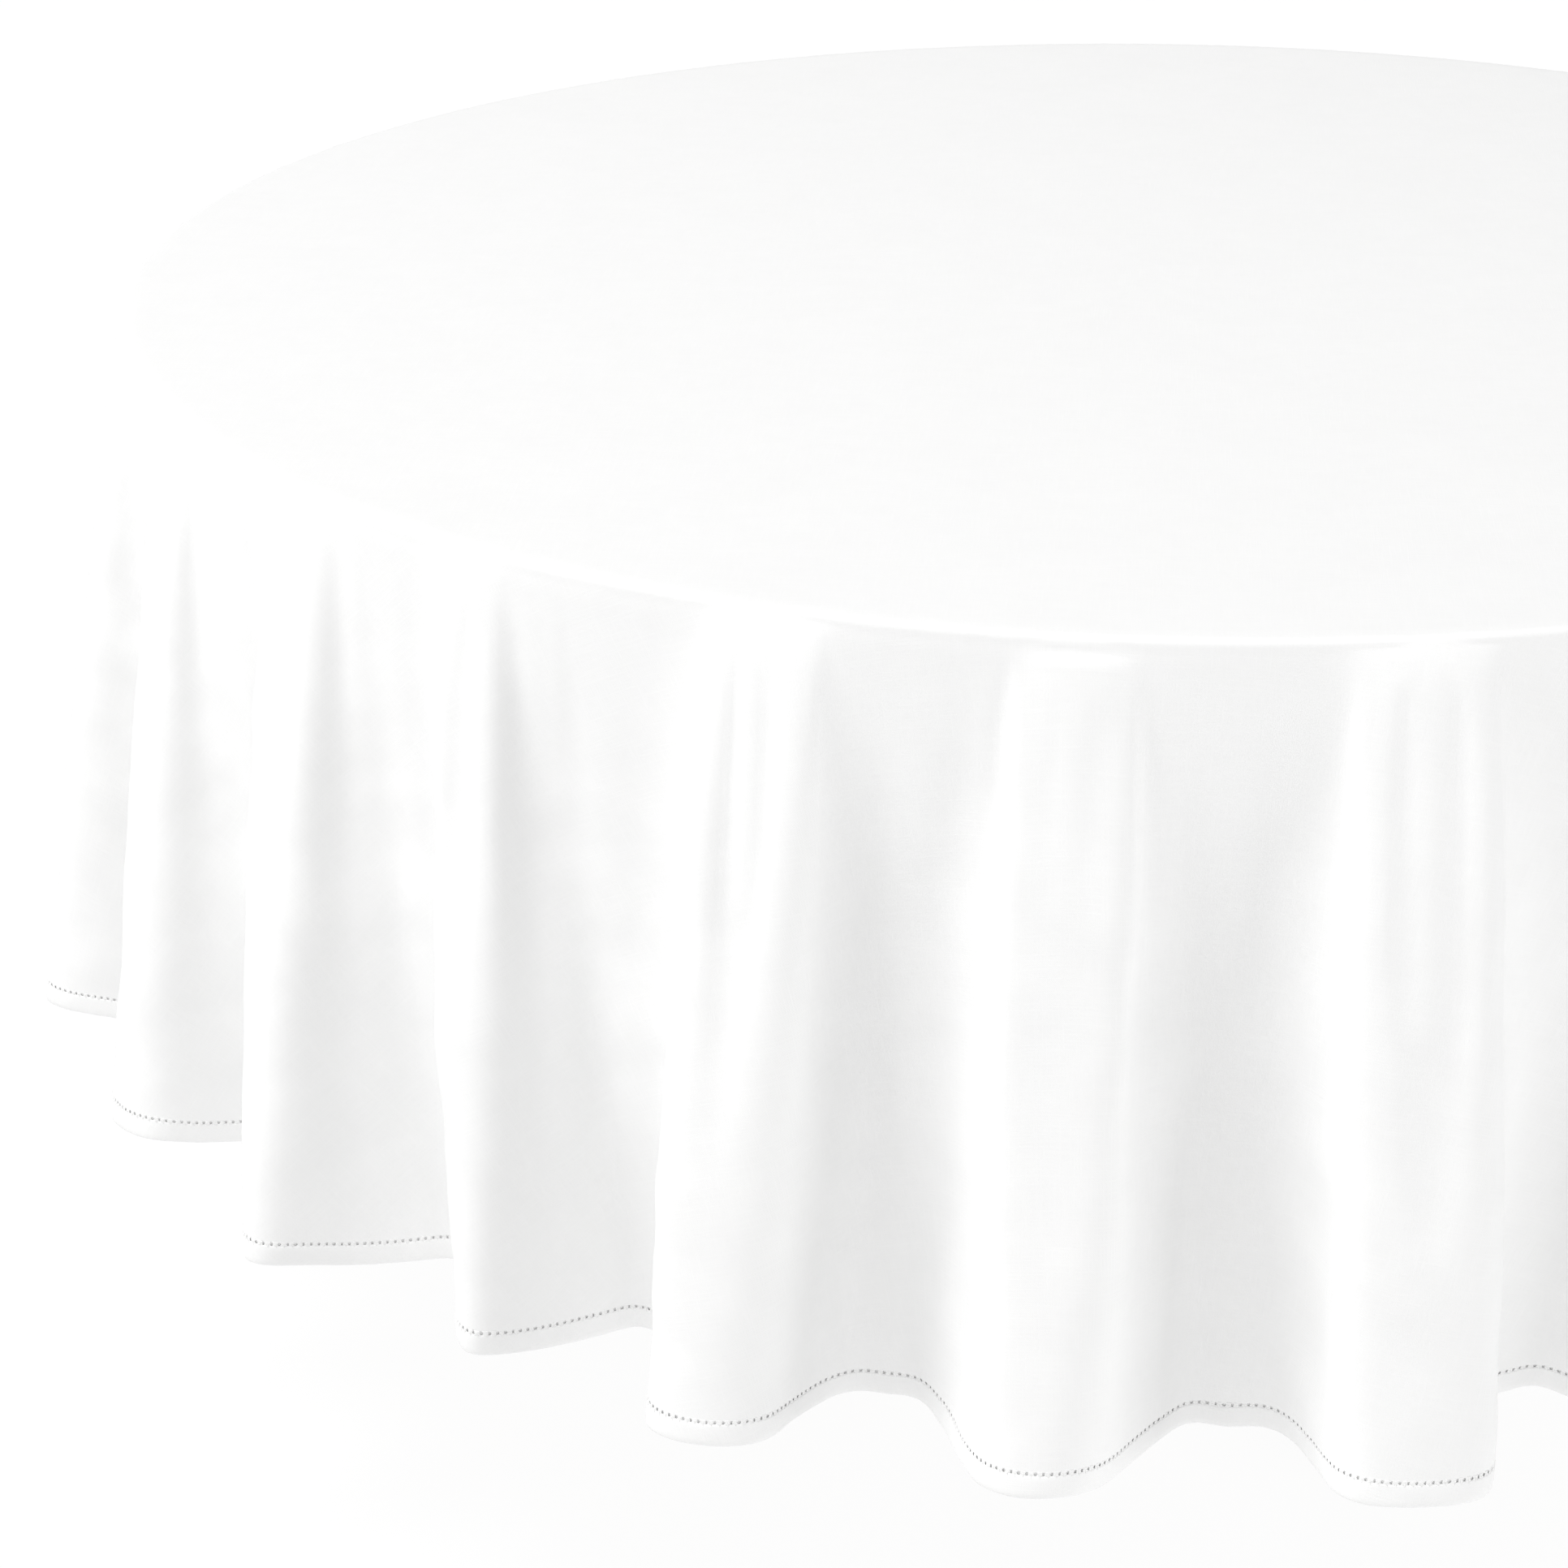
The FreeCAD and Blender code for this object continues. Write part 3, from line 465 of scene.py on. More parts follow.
def cloth_material(name, base, depth=1.0):
    """Plain weave of linen and cotton, laid out in the flat cloth's own plane
    (the UV map is in metres of flat cloth): yarns both ways, slubs along them
    and the soft cloudiness of a washed cloth."""
    m, nt, bsdf = new_mat(name)
    L = nt.links.new
    uv = node(nt, "ShaderNodeUVMap", uv_map="flat")
    sep = node(nt, "ShaderNodeSeparateXYZ")
    L(uv.outputs[0], sep.inputs[0])
    X, Y = sep.outputs[0], sep.outputs[1]

    def stretched(sx, sy, scale, detail, rough):
        comb = node(nt, "ShaderNodeCombineXYZ")
        L(math_node(nt, "MULTIPLY", X, sx), comb.inputs[0])
        L(math_node(nt, "MULTIPLY", Y, sy), comb.inputs[1])
        nz = node(nt, "ShaderNodeTexNoise", in_Scale=scale, in_Detail=detail, in_Roughness=rough)
        L(comb.outputs[0], nz.inputs["Vector"])
        return nz.outputs[0]

    slub_x = stretched(30.0, 900.0, 1.0, 2.0, 0.5)      # yarns along X
    slub_y = stretched(900.0, 30.0, 1.0, 2.0, 0.5)      # yarns along Y
    cloud = stretched(14.0, 14.0, 1.0, 4.0, 0.6)
    cloud2 = stretched(60.0, 60.0, 1.0, 3.0, 0.6)
    yarn = 2.0 * math.pi / 0.0011
    wx = math_node(nt, "SINE", math_node(nt, "MULTIPLY", X, yarn))
    wy = math_node(nt, "SINE", math_node(nt, "MULTIPLY", Y, yarn))
    weave = math_node(nt, "MULTIPLY", wx, wy)
    slubs = math_node(nt, "MAXIMUM", slub_x, slub_y)
    hs = math_node(nt, "MULTIPLY", slubs, 0.00022)
    hw = math_node(nt, "MULTIPLY", weave, 0.000022)
    hc = math_node(nt, "MULTIPLY", cloud2, 0.00035)
    height = math_node(nt, "ADD", math_node(nt, "ADD", hs, hw), hc)
    bump = node(nt, "ShaderNodeBump")
    bump.inputs["Strength"].default_value = 0.55 * depth
    bump.inputs["Distance"].default_value = 1.0
    L(height, bump.inputs["Height"])
    L(bump.outputs[0], bsdf.inputs["Normal"])
    tone = math_node(nt, "ADD",
                     math_node(nt, "MULTIPLY", math_node(nt, "SUBTRACT", cloud, 0.5), 0.030),
                     math_node(nt, "MULTIPLY", math_node(nt, "SUBTRACT", slubs, 0.58), 0.050))
    tone = math_node(nt, "ADD", tone, math_node(nt, "MULTIPLY", math_node(nt, "SUBTRACT", cloud2, 0.5), 0.020))
    tone = math_node(nt, "ADD", tone, 1.0)
    mix = node(nt, "ShaderNodeVectorMath", operation="SCALE")
    mix.inputs[0].default_value = base
    L(tone, mix.inputs["Scale"])
    L(mix.outputs[0], bsdf.inputs["Base Color"])
    rough = math_node(nt, "ADD", math_node(nt, "MULTIPLY", cloud2, 0.10), 0.80, clamp=True)
    L(rough, bsdf.inputs["Roughness"])
    bsdf.inputs["Specular IOR Level"].default_value = 0.25
    bsdf.inputs["Sheen Weight"].default_value = 0.12
    bsdf.inputs["Sheen Roughness"].default_value = 0.45
    return m


WHITE = (0.875, 0.875, 0.873)
mat_cloth = cloth_material("cloth_white_linen", WHITE)
mat_hem = cloth_material("cloth_white_hem", WHITE, 1.2)


def thread_material():
    m, nt, bsdf = new_mat("thread_white_cotton")
    L = nt.links.new
    tc = node(nt, "ShaderNodeTexCoord")
    nz = node(nt, "ShaderNodeTexNoise", in_Scale=900.0, in_Detail=2.0)
    L(tc.outputs["Object"], nz.inputs["Vector"])
    b = node(nt, "ShaderNodeBump")
    b.inputs["Strength"].default_value = 0.4
    b.inputs["Distance"].default_value = 0.0003
    L(nz.outputs[0], b.inputs["Height"])
    L(b.outputs[0], bsdf.inputs["Normal"])
    ramp = node(nt, "ShaderNodeValToRGB")
    ramp.color_ramp.elements[0].color = (0.86, 0.86, 0.85, 1)
    ramp.color_ramp.elements[1].color = (0.93, 0.93, 0.92, 1)
    L(nz.outputs[0], ramp.inputs[0])
    L(ramp.outputs[0], bsdf.inputs["Base Color"])
    bsdf.inputs["Roughness"].default_value = 0.7
    bsdf.inputs["Sheen Weight"].default_value = 0.1
    return m


mat_thread = thread_material()


def speckled(name, lo, hi, scale, rough_lo, rough_hi, metal, bump_scale, bump_mm, strength=0.5, coat=0.0):
    """Painted, plated or moulded surface with its own fine texture and tone."""
    m, nt, bsdf = new_mat(name)
    L = nt.links.new
    tc = node(nt, "ShaderNodeTexCoord")
    n1 = node(nt, "ShaderNodeTexNoise", in_Scale=scale, in_Detail=5.0, in_Roughness=0.6)
    L(tc.outputs["Object"], n1.inputs["Vector"])
    ramp = node(nt, "ShaderNodeValToRGB")
    ramp.color_ramp.elements[0].position = 0.3
    ramp.color_ramp.elements[1].position = 0.7
    ramp.color_ramp.elements[0].color = lo + (1,)
    ramp.color_ramp.elements[1].color = hi + (1,)
    L(n1.outputs[0], ramp.inputs[0])
    L(ramp.outputs[0], bsdf.inputs["Base Color"])
    mr = node(nt, "ShaderNodeMapRange")
    mr.inputs["To Min"].default_value = rough_lo
    mr.inputs["To Max"].default_value = rough_hi
    L(n1.outputs[0], mr.inputs[0])
    L(mr.outputs[0], bsdf.inputs["Roughness"])
    n2 = node(nt, "ShaderNodeTexNoise", in_Scale=bump_scale, in_Detail=3.0)
    L(tc.outputs["Object"], n2.inputs["Vector"])
    b = node(nt, "ShaderNodeBump")
    b.inputs["Strength"].default_value = strength
    b.inputs["Distance"].default_value = bump_mm * 0.001
    L(n2.outputs[0], b.inputs["Height"])
    L(b.outputs[0], bsdf.inputs["Normal"])
    bsdf.inputs["Metallic"].default_value = metal
    bsdf.inputs["Coat Weight"].default_value = coat
    return m


mat_cast = speckled("powder_coat_cast", (0.022, 0.022, 0.024), (0.045, 0.045, 0.048), 60, 0.42, 0.62, 0.0, 420, 0.5, 0.7)
mat_tube = speckled("powder_coat_tube", (0.024, 0.024, 0.026), (0.036, 0.036, 0.038), 40, 0.36, 0.48, 0.0, 900, 0.15, 0.5)
mat_zinc = speckled("zinc_plate", (0.50, 0.51, 0.52), (0.68, 0.68, 0.69), 300, 0.24, 0.42, 1.0, 500, 0.1, 0.4)
mat_nylon = speckled("moulded_nylon", (0.030, 0.030, 0.031), (0.048, 0.048, 0.048), 120, 0.50, 0.65, 0.0, 800, 0.12, 0.5)
mat_lam = speckled("laminate_matt", (0.74, 0.72, 0.68), (0.79, 0.77, 0.73), 25, 0.42, 0.55, 0.0, 1400, 0.08, 0.4)
mat_back = speckled("backing_matt", (0.20, 0.165, 0.13), (0.27, 0.225, 0.18), 30, 0.55, 0.7, 0.0, 600, 0.15, 0.5)
mat_edge = speckled("edge_band_satin", (0.10, 0.085, 0.075), (0.14, 0.12, 0.105), 45, 0.40, 0.52, 0.0, 900, 0.1, 0.4)


def wood_material():
    m, nt, bsdf = new_mat("plywood_raw")
    L = nt.links.new
    tc = node(nt, "ShaderNodeTexCoord")
    mp = node(nt, "ShaderNodeMapping")
    mp.inputs["Scale"].default_value = (3.0, 40.0, 600.0)
    L(tc.outputs["Object"], mp.inputs[0])
    n1 = node(nt, "ShaderNodeTexNoise", in_Scale=1.0, in_Detail=6.0, in_Roughness=0.6)
    L(mp.outputs[0], n1.inputs["Vector"])
    ramp = node(nt, "ShaderNodeValToRGB")
    ramp.color_ramp.elements[0].position = 0.3
    ramp.color_ramp.elements[1].position = 0.75
    ramp.color_ramp.elements[0].color = (0.42, 0.27, 0.15, 1)
    ramp.color_ramp.elements[1].color = (0.66, 0.48, 0.30, 1)
    L(n1.outputs[0], ramp.inputs[0])
    L(ramp.outputs[0], bsdf.inputs["Base Color"])
    b = node(nt, "ShaderNodeBump")
    b.inputs["Strength"].default_value = 0.4
    b.inputs["Distance"].default_value = 0.0004
    L(n1.outputs[0], b.inputs["Height"])
    L(b.outputs[0], bsdf.inputs["Normal"])
    bsdf.inputs["Roughness"].default_value = 0.72
    return m


mat_wood = wood_material()

NODE_MATS = {
    "tabletop_core": mat_wood, "top_laminate": mat_lam, "backing_sheet": mat_back, "edge_band": mat_edge,
    "top_spider": mat_cast, "base_casting": mat_cast, "column": mat_tube, "spider_screws": mat_zinc,
    "tie_rod": mat_zinc, "tie_rod_nuts": mat_zinc, "tie_rod_washers": mat_zinc}
for nm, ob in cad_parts.items():
    mt = NODE_MATS.get(nm)
    if nm.startswith("glide_stem"):
        mt = mat_zinc
    elif nm.startswith("glide_pad"):
        mt = mat_nylon
    if mt is None:
        continue
    if ob.material_slots:
        for sl in ob.material_slots:
            sl.material = mt
    else:
        ob.data.materials.append(mt)

# ------------------------------------------------------------- the cloth
GRID = simulate(GRID, FLAT, 16)

top_wave = Waves(11, 30, 0.05, 0.30)
fine_wave = Waves(12, 30, 0.018, 0.06)


def relief(P, rhos, phis):
    """Small unevenness of real cloth, moved along the surface's normal."""
    N = grid_normals(P)
    fx = rhos[:, None] * np.sin(phis)[None]
    fy = -rhos[:, None] * np.cos(phis)[None]
    big, fine = top_wave(fx, fy), fine_wave(fx, fy)
    s = np.clip((rhos - RHO0 - 0.03) / 0.12, 0, 1)[:, None]
    on_top = np.clip((RHO0 - 0.004 - rhos) / 0.04, 0, 1)[:, None]
    d = s * (0.0009 * big + 0.00018 * fine) + on_top * 0.00022 * (0.5 + 0.5 * np.tanh(big + 0.3 * fine))
    return P + N * d[..., None]


NC = 1152
phis = PHI[0] + 2 * math.pi * np.arange(NC) / NC
RHO_ROW = CLOTH_R - HEM_W - ROW_W                   # where the open row begins
RHO_HEM = CLOTH_R - HEM_W
rhos = list(np.linspace(0.615, RHO0 - 0.001, 9))
rhos += [RHO0 + ARC_L * q for q in (0.0, 0.25, 0.5, 0.75, 1.0)]
x, st = RHO0 + ARC_L, 0.0022
while x + st < RHO_ROW - 0.001:
    x += st
    rhos.append(x)
    st = min(st * 1.12, 0.0064)
rhos[-1] = RHO_ROW - 0.0005
rhos += [RHO_ROW - 0.0002, RHO_ROW]                 # a tight last strip keeps the shading flat up to the edge
rhos = np.array(rhos)
BODY_P = relief(sheet_at(rhos, phis), rhos, phis)


def build_panel():
    verts = [BODY_P.reshape(-1, 3)]
    flat = [np.stack([rhos[:, None] * np.sin(phis)[None], -rhos[:, None] * np.cos(phis)[None]], 2).reshape(-1, 2)]
    faces = [grid_faces(len(rhos), NC)]
    base = len(rhos) * NC
    # inwards: rings with half as many points, then a square patch
    ring_i = np.arange(NC)
    rho = rhos[0]
    n = NC
    while n > 144:
        rho_n = rho - 0.022
        m = n // 2
        ph = PHI[0] + 2 * math.pi * np.arange(m) / m
        px, py = rho_n * np.sin(ph), -rho_n * np.cos(ph)
        z = TOP_Z + LIFT + 0.00022 * (0.5 + 0.5 * np.tanh(top_wave(px, py)))
        verts.append(np.stack([px, py, z], 1))
        flat.append(np.stack([px, py], 1))
        new_i = base + np.arange(m)
        k = np.arange(m)
        k2 = (k + 1) % m
        o0, o1, o2 = ring_i[2 * k], ring_i[2 * k + 1], ring_i[(2 * k + 2) % n]
        faces.append(np.stack([new_i[k], o0, o1, o1], 1))
        faces.append(np.stack([new_i[k], o1, new_i[k2], new_i[k2]], 1))
        faces.append(np.stack([new_i[k2], o1, o2, o2], 1))
        ring_i, base, rho, n = new_i, base + m, rho_n, m
    # square patch, mapped so that its border falls on the last ring
    q = n // 4
    idx = -np.ones((q + 1, q + 1), int)
    border = []
    for t in range(q):
        border.append((0, t))
    for t in range(q):
        border.append((t, q))
    for t in range(q):
        border.append((q, q - t))
    for t in range(q):
        border.append((q - t, 0))
    for t, (a, b) in enumerate(border):
        idx[a, b] = ring_i[t]
    c0 = PHI[0]
    pv, pf = [], []
    for a in range(1, q):
        for b in range(1, q):
            u, v = 2.0 * b / q - 1.0, 2.0 * a / q - 1.0
            r = max(abs(u), abs(v))
            if r < 1e-9:
                x_, y_ = 0.0, 0.0
            else:
                if abs(v) >= abs(u) and v < 0:          # first side: a = 0
                    t = (u / r + 1) / 2
                elif abs(u) > abs(v) and u > 0:         # second: b = q
                    t = 1 + (v / r + 1) / 2
                elif abs(v) >= abs(u) and v > 0:        # third: a = q
                    t = 2 + (1 - u / r) / 2
                else:
                    t = 3 + (1 - v / r) / 2
                an = c0 + t * math.pi / 2
                x_, y_ = rho * r * math.sin(an), -rho * r * math.cos(an)
            idx[a, b] = base + len(pv)
            z = TOP_Z + LIFT + 0.00022 * (0.5 + 0.5 * math.tanh(float(top_wave(x_, y_))))
            pv.append((x_, y_, z))
    verts.append(np.array(pv))
    flat.append(np.array(pv)[:, :2])
    for a in range(q):
        for b in range(q):
            pf.append((idx[a, b], idx[a, b + 1], idx[a + 1, b + 1], idx[a + 1, b]))
    faces.append(np.array(pf))
    V_ = np.concatenate(verts)
    U_ = np.concatenate(flat)
    fl = []
    for f in faces:
        for a in f.tolist():
            fl.append(tuple(a[:3]) if a[2] == a[3] else tuple(a))
    return V_, U_, fl


def uv_from(ob, flat):
    me = ob.data
    lay = me.uv_layers.new(name="flat")
    li = np.empty(len(me.loops), np.int32)
    me.loops.foreach_get("vertex_index", li)
    lay.data.foreach_set("uv", flat[li].astype(np.float32).reshape(-1))


V_, U_, F_ = build_panel()
panel = make_mesh("cloth_panel", V_, F_)
uv_from(panel, U_)
panel.data.materials.append(mat_cloth)
sol = panel.modifiers.new("thickness", "SOLIDIFY")
sol.thickness = THICK
sol.offset = 0.0


# ---------------------------------------------- the hem and its hemstitching
NB = 1536                                            # bundles in the open row
ph_b = PHI[0] + 2 * math.pi * np.arange(NB) / NB
NH = NB * 2
ph_h = PHI[0] + 2 * math.pi * np.arange(NH) / NH


def band_frame(ph, r_list):
    """Points and normals of the sheet at the given flat radii, with the same
    relief as the panel."""
    pad = np.array(sorted(set([RHO_ROW - 0.012, RHO_ROW - 0.006] + list(r_list))))
    P = sheet_at(pad, ph)
    P = relief(P, pad, ph)
    N = grid_normals(P)
    pick = [int(np.argmin(np.abs(pad - r))) for r in r_list]
    return P[pick], N[pick]


# hem: a closed band of doubled cloth with a rolled lower edge
prof_r = [RHO_HEM, RHO_HEM + 0.0012, RHO_HEM + 0.004, RHO_HEM + 0.009, CLOTH_R - 0.0012, CLOTH_R - 0.0003]
P6, N6 = band_frame(ph_h, prof_r)
pucker = 0.5 + 0.5 * np.cos(np.arange(NH) * math.pi)          # draws in at each stitch
slow = Waves(31, 24, 0.02, 0.12)
hx, hy = CLOTH_R * np.sin(ph_h), -CLOTH_R * np.cos(ph_h)
puff = 1.0 + 0.22 * slow(hx, hy)
outs = [0.00034, 0.00052, 0.00066, 0.00068, 0.00058, 0.00020]
rows_o = [P6[i] + N6[i] * (outs[i] * (puff if 0 < i < 5 else np.ones(NH)) - (0.00012 * pucker if i < 2 else 0.0))[:, None] for i in range(6)]
rows_i = [P6[i] - N6[i] * (outs[i] * (1.0 if i not in (2, 3) else 0.9)) for i in range(6)]
hem_rows = np.array(rows_o + rows_i[::-1])
hr = len(hem_rows)
i = np.arange(hr)[:, None] * NH
j = np.arange(NH)[None]
i2 = ((np.arange(hr) + 1) % hr)[:, None] * NH
j2 = (j + 1) % NH
hem_faces = np.stack([i + j, i2 + j, i2 + j2, i + j2], 2).reshape(-1, 4)
hem_r = np.array(prof_r + prof_r[::-1])
hem_uv = np.stack([hem_r[:, None] * np.sin(ph_h)[None], -hem_r[:, None] * np.cos(ph_h)[None]], 2).reshape(-1, 2)
# painted shade: a strip of cloth stands behind the open row, caught to the back of the panel, so the holes look into
# its shade in place of the shaded space under the table
shade_strip = [(RHO_HEM + 0.0042, 0.00050), (RHO_HEM + 0.0012, 0.00078), (RHO_ROW + 0.00095, 0.00052), (RHO_ROW - 0.0010, 0.00060),
        (RHO_ROW - 0.0032, 0.00034), (RHO_ROW - 0.0030, 0.00066), (RHO_ROW - 0.0008, 0.00125), (RHO_ROW + 0.00095, 0.00135),
        (RHO_HEM + 0.0014, 0.00125), (RHO_HEM + 0.0044, 0.00078)]
tp_r = sorted(set(r for r, _ in shade_strip))
Pt, Nt = band_frame(ph_h, tp_r)
shade_strip_rows = np.array([Pt[tp_r.index(r)] - Nt[tp_r.index(r)] * o for r, o in shade_strip])
tr_n = len(shade_strip_rows)
i = np.arange(tr_n)[:, None] * NH
i2 = ((np.arange(tr_n) + 1) % tr_n)[:, None] * NH
shade_strip_faces = np.stack([i + j, i2 + j, i2 + j2, i + j2], 2).reshape(-1, 4) + hr * NH
shade_strip_r = np.array([r for r, _ in shade_strip])
shade_strip_uv = np.stack([shade_strip_r[:, None] * np.sin(ph_h)[None], -shade_strip_r[:, None] * np.cos(ph_h)[None]], 2).reshape(-1, 2)
# the hem mesh also carries the strip of painted shade behind the open row
hem = make_mesh("cloth_hem", np.concatenate([hem_rows.reshape(-1, 3), shade_strip_rows.reshape(-1, 3)]),
                np.concatenate([hem_faces, shade_strip_faces]))
uv_from(hem, np.concatenate([hem_uv, shade_strip_uv]))
hem.data.materials.append(mat_hem)

# open row: bundles of yarn left standing between the panel and the hem, each
# drawn in at its waist by the hemstitch thread
cols = []
m_per = 6
offs = np.linspace(-0.5, 0.5, m_per)
half_pitch = math.pi / NB
r_up, r_dn = RHO_ROW - 0.0006, RHO_HEM + 0.0008
r_mid = [r_up, RHO_ROW + 0.00015, 0.5 * (RHO_ROW + RHO_HEM), RHO_HEM - 0.00015, r_dn]
w_mid = [1.0, 0.87, 0.71, 0.85, 1.0]                # share of the pitch that is covered
ring = 8
verts, faces = [], []
Pm, Nm = band_frame(ph_b, r_mid)
Tm = np.roll(Pm, -1, 1) - np.roll(Pm, 1, 1)
pitch = 0.5 * np.linalg.norm(Tm, axis=2, keepdims=True)
Tm = Tm / np.maximum(2 * pitch, 1e-9)
jit = np.random.RandomState(5)
wob = 1.0 + 0.10 * jit.uniform(-1, 1, NB)
lean = 0.10 * jit.uniform(-1, 1, NB)
rows_b = []
for k in range(len(r_mid)):
    for a in range(ring):
        t = 2 * math.pi * a / ring
        hw = 0.5 * pitch[k, :, 0] * w_mid[k] * (wob if k in (1, 2, 3) else 1.0)
        ht = 0.00030 if k in (0, 4) else 0.00036
        sx_ = hw * math.cos(t) * (1.0 if k in (0, 4) else 0.98) + (lean * pitch[k, :, 0] if k == 2 else 0.0)
        rows_b.append(Pm[k] + Tm[k] * sx_[:, None] + Nm[k] * (ht * math.sin(t)))
rows_b = np.array(rows_b).reshape(len(r_mid), ring, NB, 3).transpose(2, 0, 1, 3)   # [bar, k, a, xyz]
nv = len(r_mid) * ring
vb = rows_b.reshape(-1, 3)
one = []
for k in range(len(r_mid) - 1):
    for a in range(ring):
        a2 = (a + 1) % ring
        one.append((k * ring + a, k * ring + a2, (k + 1) * ring + a2, (k + 1) * ring + a))
one.append(tuple(range(ring))[::-1])
one.append(tuple((len(r_mid) - 1) * ring + a for a in range(ring)))
fb = [tuple(q + b * nv for q in f) for b in range(NB) for f in one]
bars = make_mesh("cloth_open_row", vb, fb)
rb = np.repeat(np.array(r_mid), ring)
ub = np.stack([rb[None] * np.sin(ph_b)[:, None], -rb[None] * np.cos(ph_b)[:, None]], 2).reshape(-1, 2)
uv_from(bars, ub)
bars.data.materials.append(mat_cloth)

# thread: a loop round the waist of each bundle and a slanting stitch from it
# into the hem, as one tube per stitch
tv, tf = [], []
tr = 0.00009
seg = 10
side = 5
kmid = 2
C = Pm[kmid] + Tm[kmid] * (lean * pitch[kmid, :, 0])[:, None]
B = np.cross(Nm[kmid], Tm[kmid])                    # along the cloth, towards the hem or away
B *= np.sign(np.sum(B * (Pm[3] - Pm[2]), axis=1))[:, None]
hw_mid = 0.5 * pitch[kmid, :, 0] * w_mid[kmid] * wob + tr * 0.6
paths = []
for a in np.linspace(0, 2 * math.pi, 9)[:-1]:
    paths.append(C + Tm[kmid] * (hw_mid * math.cos(a))[:, None] + Nm[kmid] * ((0.00036 + tr * 0.6) * math.sin(a))
                 + B * (0.00018 * math.cos(a)))
loop = np.array(paths).transpose(1, 0, 2)            # [bar, 8, 3]


def tubes(path, closed, rad):
    """Small round tubes along many short paths [n, k, 3]."""
    n, k = path.shape[:2]
    if closed:
        t = np.roll(path, -1, 1) - np.roll(path, 1, 1)
    else:
        t = np.gradient(path, axis=1)
    t /= np.maximum(np.linalg.norm(t, axis=2, keepdims=True), 1e-12)
    ref = np.tile(Nm[kmid][:, None, :], (1, k, 1))
    alt = np.tile(B[:, None, :], (1, k, 1))
    u = np.cross(t, alt)
    bad = np.linalg.norm(u, axis=2, keepdims=True) < 0.3
    u = np.where(bad, np.cross(t, ref), u)
    u /= np.maximum(np.linalg.norm(u, axis=2, keepdims=True), 1e-12)
    w = np.cross(t, u)
    out = []
    for s_ in range(side):
        a = 2 * math.pi * s_ / side
        out.append(path + rad * (u * math.cos(a) + w * math.sin(a)))
    V3 = np.array(out).transpose(1, 2, 0, 3)         # [n, k, side, 3]
    fs = []
    kk = k if closed else k - 1
    for q in range(kk):
        q2 = (q + 1) % k
        for s_ in range(side):
            s2 = (s_ + 1) % side
            fs.append((q * side + s_, q * side + s2, q2 * side + s2, q2 * side + s_))
    if not closed:
        fs.append(tuple(range(side))[::-1])
        fs.append(tuple((k - 1) * side + s_ for s_ in range(side)))
    allf = [tuple(v + b * k * side for v in f) for b in range(n) for f in fs]
    return V3.reshape(-1, 3), allf


v1, f1 = tubes(loop, True, tr)
dn = Pm[4] + Nm[4] * 0.00050 + Tm[4] * (0.06 * pitch[4])
st_path = np.stack([C + Nm[kmid] * 0.00044 + Tm[kmid] * hw_mid[:, None] * 0.1,
                    0.5 * (C + dn) + Nm[kmid] * 0.00026,
                    dn + B * 0.0004, dn + B * 0.0008 - Nm[kmid] * 0.0006], 1)
v2, f2 = tubes(st_path, False, tr)
off = len(v1)
thread = make_mesh("hemstitch_stitches", np.concatenate([v1, v2]), f1 + [tuple(q + off for q in f) for f in f2])
thread.data.materials.append(mat_thread)

for ob in (panel, hem, bars, thread):
    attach(ob, "tablecloth")
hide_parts("tablecloth_panel")
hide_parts("hem_band")
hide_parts("hemstitch_thread")

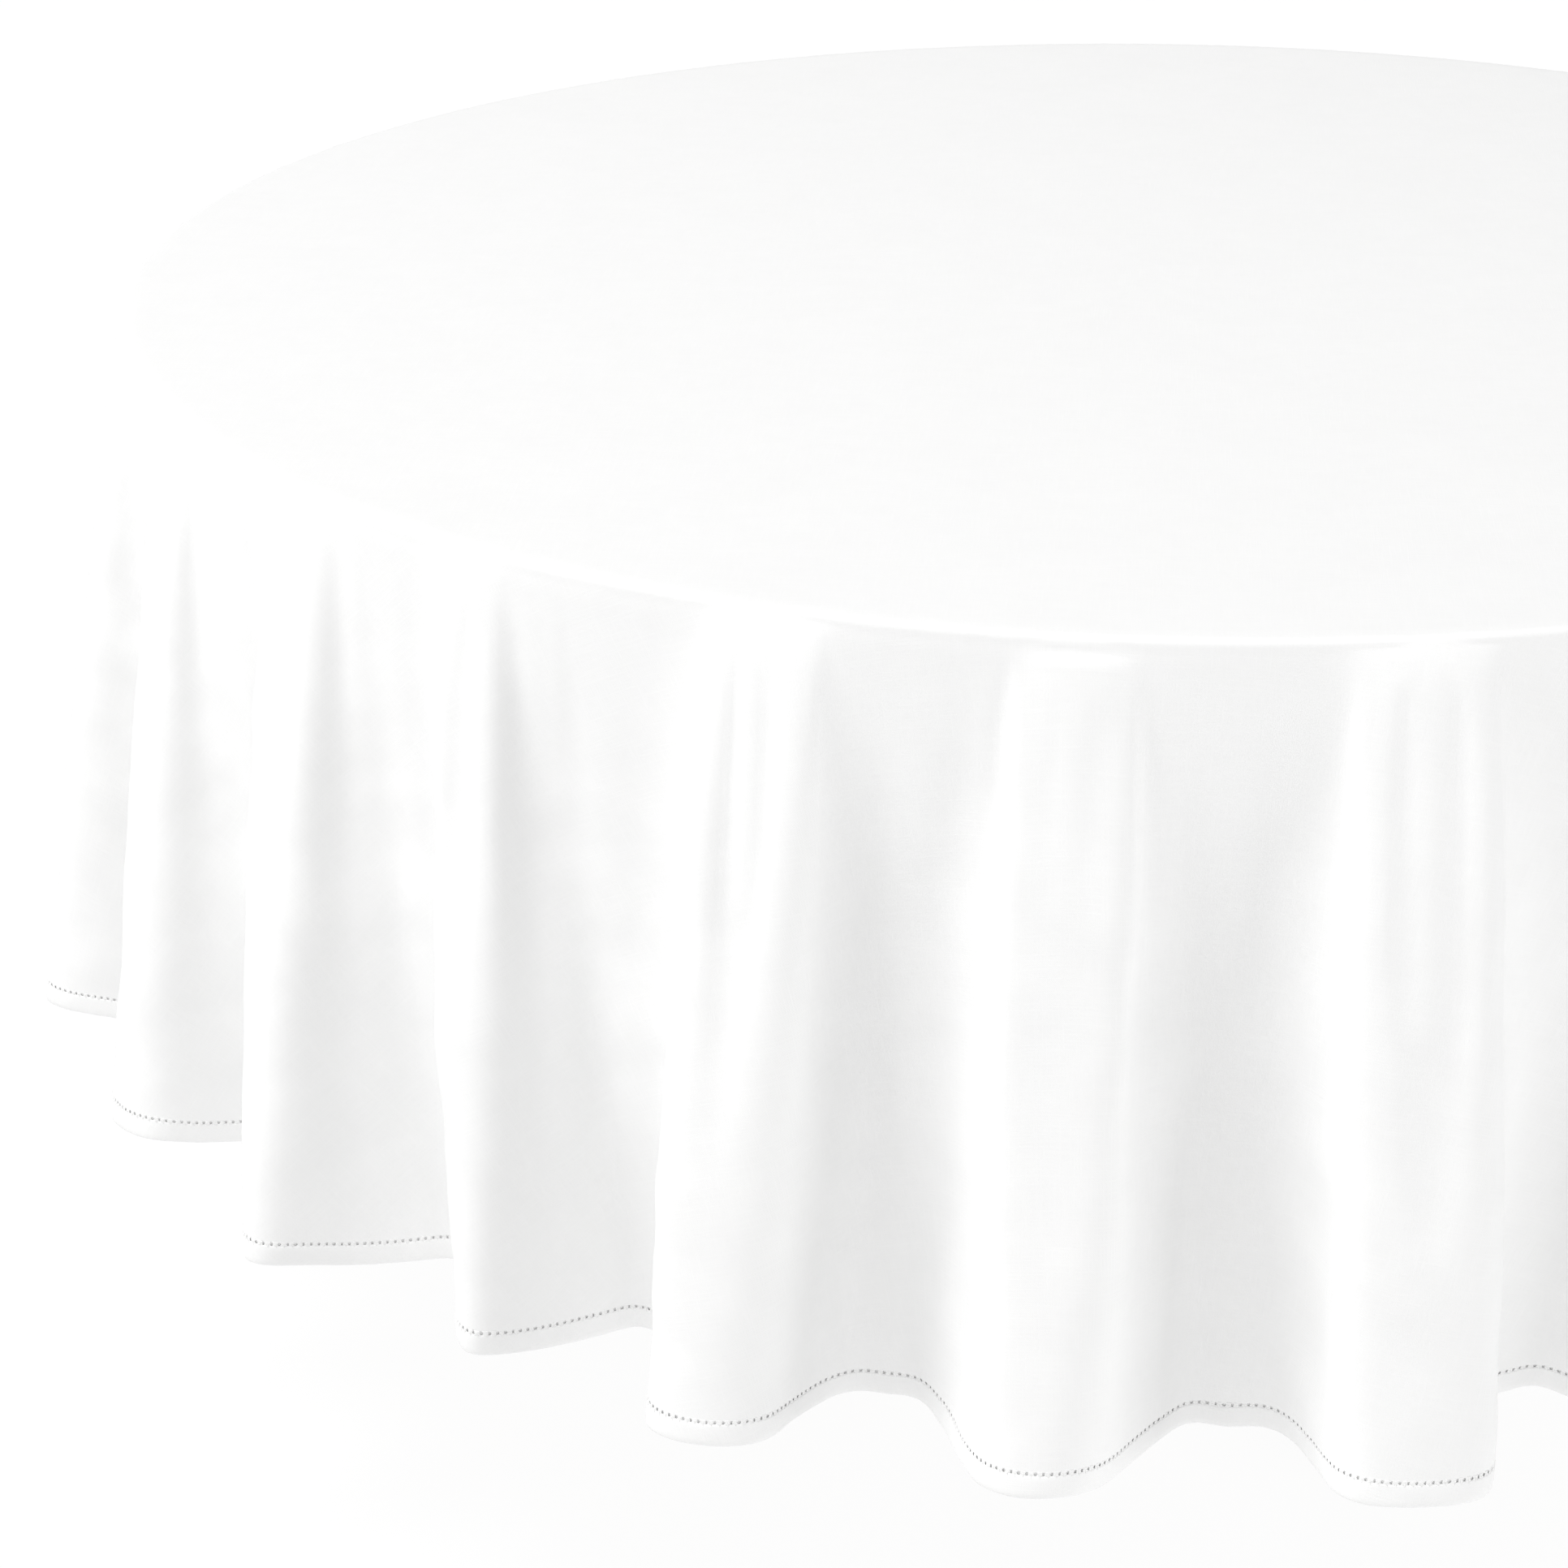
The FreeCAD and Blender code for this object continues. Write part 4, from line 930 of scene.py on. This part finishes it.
# ---------------------------------------------------------------- the stage
sz = 30.0
floor = make_mesh("stage_floor", [(-sz, -sz, -0.0005), (sz, -sz, -0.0005), (sz, sz, -0.0005), (-sz, sz, -0.0005)], [(0, 1, 2, 3)], False)
fm, fnt, fb_ = new_mat("stage_pale")
fb_.inputs["Base Color"].default_value = (0.06, 0.06, 0.06, 1)
fb_.inputs["Roughness"].default_value = 0.9
fb_.inputs["Specular IOR Level"].default_value = 0.1
fb_.inputs["Emission Color"].default_value = (1, 1, 1, 1)
fb_.inputs["Emission Strength"].default_value = 0.95
floor.data.materials.append(fm)

w = bpy.data.worlds.new("studio")
scene.world = w
w.use_nodes = True
w.node_tree.nodes["Background"].inputs[0].default_value = (1, 1, 1, 1)
w.node_tree.nodes["Background"].inputs[1].default_value = 0.50


def area_light(name, loc, aim, size, power):
    d = bpy.data.lights.new(name, "AREA")
    d.shape = "SQUARE"
    d.size = size
    d.energy = power
    o = bpy.data.objects.new(name, d)
    scene.collection.objects.link(o)
    o.location = loc
    v = Vector(aim) - Vector(loc)
    o.rotation_euler = v.to_track_quat("-Z", "Y").to_euler()
    return o


area_light("key", (-3.4, -1.2, 8.4), (0.0, -0.1, 0.6), 3.2, 457.0)
area_light("fill_right", (5.0, -2.2, 1.1), (0.0, -0.3, 0.5), 2.4, 72.0)
area_light("fill_left", (-5.0, -3.0, 1.3), (0.0, -0.3, 0.5), 2.4, 41.0)
area_light("fill_front", (0.6, -5.6, 1.2), (0.0, -0.3, 0.5), 2.4, 30.0)

# camera: eye height, in front and a little to the right of the view's middle
cam_d = bpy.data.cameras.new("cam")
cam_d.sensor_fit = "HORIZONTAL"
cam_d.sensor_width = 36.0
cam_d.lens = 36.0 * 4500.0 / 1932.0
cam = bpy.data.objects.new("cam", cam_d)
scene.collection.objects.link(cam)
UNIT = 0.6865
pitch_, yaw, roll = math.radians(23.704), math.radians(6.114), math.radians(-0.408)
fwd = Vector((-math.sin(yaw) * math.cos(pitch_), math.cos(yaw) * math.cos(pitch_), -math.sin(pitch_)))
right = Vector((math.cos(yaw), math.sin(yaw), 0.0))
up = right.cross(fwd)
r2 = right * math.cos(roll) + up * math.sin(roll)
u2 = -right * math.sin(roll) + up * math.cos(roll)
loc = Vector((0.0, -3.4773 * UNIT, 0.969 * UNIT + TOP_Z + LIFT))
mw = Matrix((r2, u2, -fwd)).transposed().to_4x4()
mw.translation = loc
cam.matrix_world = mw
cam_d.clip_start = 0.05
scene.camera = cam
scene.view_settings.view_transform = "Standard"
scene.view_settings.look = "None"

bpy.context.view_layer.update()
